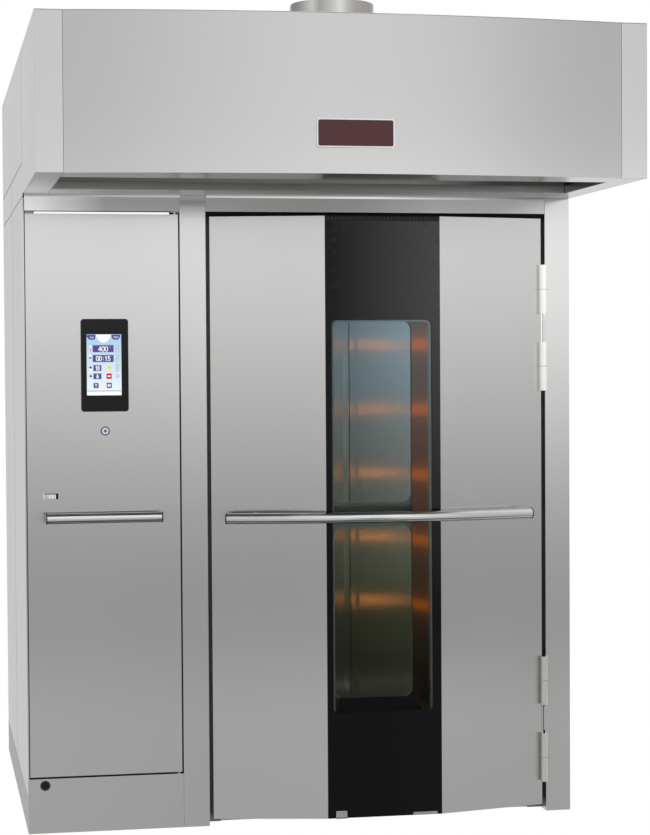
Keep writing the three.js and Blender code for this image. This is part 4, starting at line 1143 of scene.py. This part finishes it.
@dataclass
class TouchScreen(Assembly):
    """Picture on the touch screen, laid out in millimetres right and down from its top left corner."""

    body = "access_door"
    left: float = 202.0
    top: float = 1622.0
    front: float = -3.3
    layer: float = 0.06
    sheet: float = 0.03
    readouts: tuple[tuple[Flat, Flat], ...] = (
        ((19.3, 87.1), (34.3, 57.8)), ((19.3, 87.1), (66.4, 90.0)), ((20.9, 46.9), (99.5, 119.0)),
        ((20.9, 46.9), (126.4, 145.4)),
    )
    arrows: tuple[float, ...] = (40.4, 52.9, 71.9, 84.5, 101.9, 115.1, 135.3)
    arrow_u: float = 99.4

    def build(self) -> None:
        """Draw the picture."""
        self.paint(SCREEN_LIGHT, "touch_display")
        cover = Shape().box((196.0, 2.0, 1418.0), (320.0, 24.0, 1628.0)).bevelled(1.5)
        cover.finished("screen_back_cover", BLACK_PLASTIC, self.body, "black_plastic")
        tab_left = [(0.2, 1.5), (29.1, 1.5), (27.3, 15.3), (22.4, 17.7), (9.5, 17.7), (0.2, 8.3)]
        tab_right = [(80.1, 1.5), (108.9, 1.5), (108.9, 8.3), (100.6, 17.7), (85.3, 16.8), (81.3, 10.7)]
        arch = [(30.1, 0.3), (79.2, 0.3), (77.0, 9.0), (72.0, 18.0), (64.0, 25.0), (54.6, 27.5), (45.0, 25.0),
                (37.0, 18.0), (32.0, 9.0)]
        rings = [circle(self.arrow_u, v, 5.6, 24) for v in self.arrows]
        boxes = [rounded(u, v, 1.2) for u, v in self.readouts]
        keys = [rounded((21.2, 37.7), (157.6, 174.4), 1.5), rounded((63.5, 80.4), (157.0, 174.4), 1.5)]
        bell = [(7.1, 138.6), (17.8, 138.6), (12.3, 128.5)]
        self.draw("screen_arch", SCREEN_WHITE, 0, [arch, rounded((1.0, 111.0), (185.6, 197.6), 0.5)])
        self.draw("screen_rule", SCREEN_GREY, 0, [rounded((1.0, 111.5), (182.8, 185.0), 0.4)])
        self.draw("screen_boxes", SCREEN_PURPLE, 1, [tab_left, tab_right, *boxes, *rings, *keys, bell])
        self.draw("screen_stop", SCREEN_RED, 1, [rounded((63.2, 80.4), (127.0, 144.7), 1.5)])
        self.draw("screen_fan_key", SCREEN_YELLOW, 1, [rounded((63.8, 80.7), (101.0, 116.3), 1.5)])
        self.draw("screen_fan_lines", SCREEN_GREEN, 2,
                  [rounded((66.0, 79.0), (v, v + 2.0), 0.6) for v in (103.4, 107.4, 111.4)])
        edges = [rounded((u[0] + 1.5, u[1] - 1.5), (v[0] + 1.2, v[0] + 2.2), 0.4) for u, v in self.readouts]
        self.draw("screen_edges", SCREEN_LILAC, 2, edges)
        self.draw("screen_lamp", SCREEN_NAVY, 1, [circle(11.7, 107.4, 3.6, 20)])
        self.icons()
        digits = (self.text("400", (37.1, 69.0), (40.2, 54.4)) + self.text("00:15", (29.8, 76.8), (71.6, 85.4))
                  + self.text("10", (27.5, 41.2), (103.6, 116.0)) + self.text("6", (30.4, 38.0), (130.4, 142.0)))
        self.draw("screen_digits", SCREEN_WHITE, 3, digits)
        degree = Shape().ring(self.placed(circle(75.2, 41.8, 2.2, 16)), self.placed(circle(75.2, 41.8, 1.1, 16)),
                              Plane.FRONT, self.depth(3))
        degree.finished("screen_degree", SCREEN_LILAC, self.body)

    def icons(self) -> None:
        """Draw the small signs beside the readouts and inside the keys."""
        hollows = [circle(self.arrow_u, v, 4.1, 20) for v in self.arrows]
        tabs = [rounded((10.0, 23.5), (8.4, 9.6), 0.5), rounded((12.0, 21.5), (11.4, 12.6), 0.5),
                rounded((86.0, 103.0), (7.6, 8.8), 0.5), rounded((88.0, 101.0), (10.6, 11.8), 0.5)]
        lamp = circle(11.7, 115.0, 3.4, 16)
        marks = [rounded((66.9, 76.6), (133.7, 138.0), 0.8), rounded((25.8, 33.2), (161.0, 163.2), 0.6),
                 rounded((28.4, 30.6), (163.0, 170.5), 0.6), rounded((66.8, 70.2), (161.0, 170.6), 0.8),
                 rounded((73.0, 76.6), (161.0, 170.6), 0.8), rounded((70.0, 73.2), (164.6, 166.8), 0.5)]
        self.draw("screen_hollows", SCREEN_WHITE, 2, [
            *hollows, *tabs, *marks, lamp, rounded((8.6, 14.8), (36.0, 58.0), 2.6), circle(10.9, 68.4, 4.6, 20)])
        middle = self.arrow_u
        heads = [[(middle - 2.0, v + turn), (middle + 2.0, v + turn), (middle, v - 1.6 * turn)]
                 for v, turn in zip(self.arrows, (1, -1, 1, -1, 1, -1, 1))]
        self.draw("screen_arrows", SCREEN_PURPLE, 3, heads)
        self.draw("screen_marks", SCREEN_RED, 3, [
            rounded((10.4, 13.0), (43.0, 52.8), 1.0), circle(11.7, 53.6, 2.2, 16),
            rounded((6.6, 15.4), (74.0, 78.6), 1.4)])

    def placed(self, outline: Sequence[Flat]) -> list[Flat]:
        """Move an outline of the picture to the oven's front.

        Args:
            outline: Points in millimetres right and down.

        Returns:
            The same in X and Z.
        """
        return [(self.left + u, self.top - v) for u, v in outline]

    def depth(self, layer: int) -> Flat:
        """Give the front and back of a layer.

        Args:
            layer: Number of layers under it.

        Returns:
            Lowest and highest Y.
        """
        rear = self.front - 0.04 - layer * self.layer
        return rear - self.sheet, rear

    def draw(self, name: str, finish: Finish, layer: int, outlines: Sequence[Sequence[Flat]]) -> None:
        """Draw filled outlines.

        Args:
            name: Name of the piece.
            finish: Colour.
            layer: Number of layers under it.
            outlines: Outlines in millimetres right and down.
        """
        shape = Shape()
        for outline in outlines:
            shape.plate(self.placed(outline), Plane.FRONT, self.depth(layer))
        shape.finished(name, finish, self.body)

    def text(self, word: str, u: Flat, v: Flat, pen: float = 2.5) -> list[list[Flat]]:
        """Outline a readout's characters.

        Args:
            word: The characters.
            u: Left and right end.
            v: Top and bottom.
            pen: Width of the strokes.

        Returns:
            Outlines of the strokes.
        """
        pitch = (u[1] - u[0]) / len(word)
        width = pitch - pen
        outlines = []
        for i, character in enumerate(word):
            for line in GLYPHS[character]:
                points = [Vector((u[0] + pitch * i + pen / 2 + width * a, v[0] + (v[1] - v[0]) * b))
                          for a, b in line]
                outlines.extend(circle(x, y, pen / 2, 12) for x, y in points)
                for start, end in zip(points, points[1:]):
                    side = (end - start).orthogonal().normalized() * (pen / 2)
                    corners = (start + side, start - side, end - side, end + side)
                    outlines.append([tuple(corner) for corner in corners])
        return outlines


@dataclass
class AccessDoor(Assembly):
    """Left door with the screen's bezel, button, latch and handle."""

    body = "access_door"
    bar_x: Flat = (64.0, 438.0)
    bar_y: float = -50.0
    bar_z: float = 1028.0
    button_x: float = 260.0
    button_z: float = 1308.0
    button_front: float = -2.7

    def build(self) -> None:
        """Build the door's looks."""
        self.soften(SIDE, "stainless", 0.6, "access_door_panel")
        self.soften(BLACK_GLASS, "black_glass", 0.6, "touch_bezel")
        self.soften(POLISHED, "bright_stainless", 0.4, "access_handle")
        # The strip along the door's top glows white: a painted highlight.
        strip = Shape().box((36.0, -0.4, 2012.2), (474.0, 5.0, 2018.6)).bevelled(0.8)
        strip.finished("access_top_strip", PAINTED_HIGHLIGHT_STRIP, self.body)
        self.handle_ends()
        self.button()
        self.latch()

    def handle_ends(self) -> None:
        """Cap the bar with black rings and slightly domed steel discs."""
        for side, x, out in (("left", self.bar_x[0], -1), ("right", self.bar_x[1], 1)):
            inner, outer, end = ((x + out * step, self.bar_y, self.bar_z) for step in (-2.5, 1.5, 3.2))
            ring = Shape().rod(inner, outer, 17.5, 40)
            ring.bevelled(0.6).finished(f"access_handle_ring_{side}", BLACK_PLASTIC, self.body, "black_plastic")
            dome = Shape().rod(outer, end, 15.5, 40,
                               12.5)
            dome.bevelled(0.5).finished(f"access_handle_cap_{side}", POLISHED, self.body, "bright_stainless")

    def button(self) -> None:
        """Fit the lit power button: a light ring round a dark cap, in a dark chrome ring."""
        self.soften(DARK_CHROME, "bright_stainless", 0.5, "button_ring")
        self.paint(BLACK_PLASTIC, "power_button")
        middle = (self.button_x, self.button_z)
        front = self.button_front
        light = Shape().ring(
            circle(*middle, 10.2, 40), circle(*middle, 5.6, 40), Plane.FRONT, (front - 0.5, front))
        light.bevelled(0.2).finished("button_light_ring", BUTTON_LIGHT, "power_button", "button_light")
        cap = Shape().plate(circle(*middle, 5.4, 32), Plane.FRONT, (front - 0.9, front)).bevelled(0.4)
        cap.finished("button_cap", BUTTON_CAP, "power_button")
        mark = Shape().ring(
            circle(*middle, 2.6, 24), circle(*middle, 1.7, 24), Plane.FRONT, (front - 1.0, front - 0.9))
        mark.box((self.button_x - 0.45, front - 1.02, self.button_z + 0.4),
                 (self.button_x + 0.45, front - 0.9, self.button_z + 3.2))
        mark.finished("button_mark", BUTTON_MARK, "power_button")

    def latch(self) -> None:
        """Rib the latch's slide for a finger and frame its slot. The ribs glow as a painted highlight with dark
        grooves between them as painted shade; a strip along the slot's top edge and a plate behind it are
        painted shadow; the stop at its left end has a painted highlight.
        """
        self.soften(POLISHED, "bright_stainless", 0.3, "latch_slide", body="latch_slide")
        ribs, grooves = Shape(), Shape()
        for i in range(5):
            ribs.box((77.0 + 4.6 * i, -0.9, 1090.0), (79.5 + 4.6 * i, 0.7, 1103.0))
        for i in range(4):
            grooves.box((79.7 + 4.6 * i, -0.3, 1090.0), (81.4 + 4.6 * i, 0.7, 1103.0))
        ribs.bevelled(0.3).finished("latch_ribs", PAINTED_HIGHLIGHT_STRIP, "latch_slide", "bright_stainless")
        grooves.finished("latch_grooves_shaded", DARK_CHROME, "latch_slide", "bright_stainless")
        brow = Shape().box((60.0, -0.7, 1104.6), (105.0, -0.1, 1106.8))
        brow.finished("latch_brow_shadow", SEAM, self.body)
        stop = Shape().box((57.0, -0.9, 1086.0), (59.0, -0.1, 1110.0)).bevelled(0.3)
        stop.finished("latch_stop", HINGE_PAINTED_HIGHLIGHT, self.body)
        recess = Shape().box((60.0, 5.6, 1078.0), (118.0, 6.2, 1116.0))
        recess.finished("latch_recess_shadow", SEAM, self.body)


# ---------------------------------------------------------------- inside
@dataclass
class Chamber(Assembly):
    """Baking chamber, its lamps and the rack lift."""

    lamp_z: tuple[float, ...] = (416.0, 713.5, 1011.0, 1308.5, 1606.0)
    rear: float = 1472.7
    ridge_x: tuple[float, float, float] = (1338.0, 1363.0, 1400.0)
    ridge_rise: float = 5.0
    ridge_z: Flat = (60.0, 1880.0)
    bolt_x: float = 1412.0
    bolt_heights: tuple[float, ...] = (1282.0, 1045.0, 993.0, 755.0, 706.0, 464.0, 416.0, 173.0)

    def build(self) -> None:
        """Build the chamber's looks."""
        # The back wall gets painted lamp light.
        self.paint(BACK_WALL_PAINTED_LIGHT, "chamber_back_wall")
        self.paint(LINER, "chamber_left_wall", "chamber_right_wall", "chamber_ceiling",
                   "chamber_floor", "supply_duct", "rack_carrier")
        # The lamp column and door jamb are painted in darker liner steel as shade.
        self.paint(SHADED_LINER, "lamp_column", "door_jamb")
        self.paint(POLISHED, "rotator_shaft")
        self.paint(ZINC, "lift_yoke")
        self.lamps()
        self.back_wall()

    def lamps(self) -> None:
        """Light the five lamps in the front right corner."""
        for i, z in enumerate(self.lamp_z):
            lens = Shape().rod((1697.5, 96.0, z), (1693.0, 96.0, z), 11.6, 24)
            lens.finished(f"lamp_lens_{i + 1}", LAMP, self.body)
            outline = [(1697.0, 113.8), (1738.0, 135.1), (1738.0, 139.1), (1697.0, 117.8)]
            panel = Shape().plate(outline, Plane.PLAN, (z - 12.0, z + 12.0))
            panel.finished(f"lamp_panel_{i + 1}", LAMP, self.body)


    def back_wall(self) -> None:
        """Add the back wall's raised seam and its bolts."""
        left, apex, right = self.ridge_x
        section = [(left, self.rear), (apex, self.rear - self.ridge_rise), (right, self.rear)]
        # The ridge shares the back wall's painted light.
        ridge = Shape().plate(section, Plane.PLAN, self.ridge_z)
        ridge.finished("back_wall_ridge", BACK_WALL_PAINTED_LIGHT, self.body, "liner_steel")
        seam = Shape().rod((apex, self.rear - self.ridge_rise, self.ridge_z[0]),
                           (apex, self.rear - self.ridge_rise, self.ridge_z[1]), 1.6, 12)
        seam.finished("back_wall_seam", BRONZED, self.body)
        bolts = Shape()
        for z in self.bolt_heights:
            bolts.rod((self.bolt_x, self.rear, z), (self.bolt_x, self.rear - 6.0, z), 5.0, 16, 3.0)
        bolts.bevelled(0.6).finished("back_wall_bolts", POLISHED, self.body, "bright_stainless")


@dataclass
class Machinery(Assembly):
    """Heat exchanger, burner, blower, motors and controls behind the access door."""

    def build(self) -> None:
        """Build the machinery's looks."""
        self.paint(ZINC, "heat_exchanger", "blower_housing", "blower_wheel")
        self.paint(ENCLOSURE, "control_box")
        self.paint(MOTOR_PAINT, "burner_box", "blower_motor", "rotator_gearmotor")


# ---------------------------------------------------------------- studio
@dataclass
class Studio:
    """Room, lights and camera."""

    camera_place: Point = (-1.2484, -7.3809, 1.527)
    camera_right: Point = (0.98273222, -0.18493397, -0.00606713)
    camera_down: Point = (-0.01162763, -0.02899782, -0.99951184)
    camera_forward: Point = (0.18466776, 0.98232304, -0.03064743)
    lens: float = 93.03
    shift: Flat = (0.00013, 0.01308)
    behind: float = 0.76
    by_height: tuple[Flat, ...] = ((3.7, 1.1), (5.0, 1.06), (30.0, 1.12), (90.0, 1.2))
    steel_light: tuple[Flat, ...] = (
        (-30.0, 0.6), (-10.0, 0.6), (-9.0, 0.8), (-7.5, 0.4), (-5.0, 0.45), (-3.0, 0.6), (0.5, 0.9),
        (3.7, 1.3),
    )
    steel_gains: tuple[Flat, ...] = ((-15.0, 0.9), (4.0, 1.1), (7.2, 0.85), (17.5, 1.2), (39.0, 0.85))
    glass_light: tuple[tuple[float, tuple[Flat, ...]], ...] = (
        (10.8, ((-5.0, 0.25), (1.5, 0.5))),
        (13.8, ((-6.5, 0.3), (-3.5, 0.9), (1.5, 2.6))),
    )
    underfoot: tuple[Flat, ...] = ((-80.0, 0.12), (-55.0, 0.2), (-32.0, 1.0))
    by_side: tuple[Flat, ...] = (
        (-60.0, 0.8), (-14.0, 0.6), (2.0, 0.9), (18.0, 1.0), (32.0, 0.5), (60.0, 0.8),
    )

    def build(self) -> None:
        """Build the studio."""
        self.world()
        self.floor()
        self.camera()
        bpy.context.scene.view_settings.view_transform = "Standard"

    def courses(self) -> list[tuple[float, list[Flat]]]:
        """List how the light changes with height in each direction, from left to right.

        Returns:
            Each direction's angle and its stops.
        """
        steel = [(side, [(height, level * gain) for height, level in self.steel_light])
                 for side, gain in self.steel_gains]
        return sorted([*steel, *((side, list(stops)) for side, stops in self.glass_light)])

    def low_level(self, graph: Graph, height: Socket, side: Socket) -> Socket:
        """Blend the light of the neighbouring directions below the hood's height.

        Args:
            graph: Graph of the world.
            height: Socket of the angle above the horizon.
            side: Socket of the angle to the side.

        Returns:
            The level's socket.
        """
        courses = self.courses()
        sides = [-180.0, *(angle for angle, _ in courses), 180.0]
        total = None
        for i, (angle, course) in enumerate(courses, start=1):
            first, last = i == 1, i == len(courses)
            before, after = float(first), float(last)
            stops = [(sides[i - 1], before), (angle, 1.0), (sides[i + 1], after)]
            share = graph.math("MULTIPLY", graph.ramp(side, stops), graph.ramp(height, course))
            total = share if total is None else graph.math("ADD", total, share)
        return total

    def world(self) -> None:
        """Light the room softly from all round, brighter above eye height; the camera sees white."""
        world = bpy.data.worlds.new("studio")
        bpy.context.scene.world = world
        graph = Graph(world)
        parts = graph.node("ShaderNodeSeparateXYZ")
        graph.link(graph.node("ShaderNodeTexCoord").outputs["Generated"], parts.inputs[0])
        x, y, z = parts.outputs
        height = graph.math("DEGREES", graph.math("ARCSINE", z))
        side = graph.math("DEGREES", graph.math("ARCTAN2", x, graph.math("MULTIPLY", y, -1.0)))
        raised = graph.ramp(height, ((3.8, 0.0), (4.4, 1.0)))
        upper = graph.math("MULTIPLY", graph.ramp(height, self.by_height), graph.ramp(side, self.by_side))
        lower = graph.math("MULTIPLY", self.low_level(graph, height, side), graph.ramp(height, self.underfoot))
        front = graph.math("ADD", graph.math("MULTIPLY", upper, raised),
                           graph.math("MULTIPLY", lower, graph.math("SUBTRACT", 1.0, raised)))
        behind = graph.ramp(graph.math("ABSOLUTE", side), ((60.0, 0.0), (100.0, 1.0)))
        level = graph.math("ADD", graph.math("MULTIPLY", front, graph.math("SUBTRACT", 1.0, behind)),
                           graph.math("MULTIPLY", behind, self.behind))
        room = graph.node("ShaderNodeBackground")
        graph.link(level, room.inputs["Strength"])
        white = graph.node("ShaderNodeBackground")
        mix = graph.node("ShaderNodeMixShader")
        for background in (room, white):
            background.inputs["Color"].default_value = (1.0, 1.0, 1.0, 1.0)
        graph.link(graph.node("ShaderNodeLightPath").outputs["Is Camera Ray"], mix.inputs[0])
        graph.link(room.outputs[0], mix.inputs[1])
        graph.link(white.outputs[0], mix.inputs[2])
        graph.surface(mix.outputs[0])

    def floor(self) -> None:
        """Lay a pale floor that is white to the camera."""
        graph = Graph(bpy.data.materials.new("floor"))
        pale = graph.node("ShaderNodeBsdfDiffuse")
        pale.inputs["Color"].default_value = (0.62, 0.62, 0.61, 1.0)
        white = graph.node("ShaderNodeEmission")
        white.inputs["Color"].default_value = (1.0, 1.0, 1.0, 1.0)
        mix = graph.node("ShaderNodeMixShader")
        graph.link(graph.node("ShaderNodeLightPath").outputs["Is Camera Ray"], mix.inputs[0])
        graph.link(pale.outputs[0], mix.inputs[1])
        graph.link(white.outputs[0], mix.inputs[2])
        material = graph.surface(mix.outputs[0])
        bm = bmesh.new()
        bmesh.ops.create_grid(bm, x_segments=1, y_segments=1, size=6.0)
        bmesh.ops.translate(bm, verts=bm.verts, vec=(0.0, 0.0, -0.002))
        mesh = bpy.data.meshes.new("floor")
        bm.to_mesh(mesh)
        bm.free()
        mesh.materials.append(material)
        floor = bpy.data.objects.new("floor", mesh)
        bpy.context.scene.collection.objects.link(floor)
        floor.visible_glossy = False

    def camera(self) -> None:
        """Put the camera where the photo was taken from."""
        data = bpy.data.cameras.new("camera")
        data.sensor_width = 36.0
        data.lens = self.lens
        data.shift_x, data.shift_y = self.shift
        camera = bpy.data.objects.new("camera", data)
        right, down, forward = (Vector(v) for v in (self.camera_right, self.camera_down, self.camera_forward))
        turn = Matrix((right, -down, -forward)).transposed().to_4x4()
        camera.matrix_world = Matrix.Translation(self.camera_place) @ turn
        bpy.context.scene.collection.objects.link(camera)
        bpy.context.scene.camera = camera


def corners(bounds: Iterable[Iterable[float]]) -> list[list[float]]:
    """Turn bounds into plain lists.

    Args:
        bounds: Lowest and highest corner.

    Returns:
        The same as lists of numbers.
    """
    return [[float(value) for value in corner] for corner in bounds]


def main() -> None:
    """Build everything."""
    logging.basicConfig(level=logging.INFO, format="%(name)s %(message)s")
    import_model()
    for part in (Cabinet(), Hood(), MainDoor(), AccessDoor(), TouchScreen(), Chamber(), Machinery(), Studio()):
        LOG.info("building %s", type(part).__name__)
        part.build()


if __name__ == "__main__":
    main()
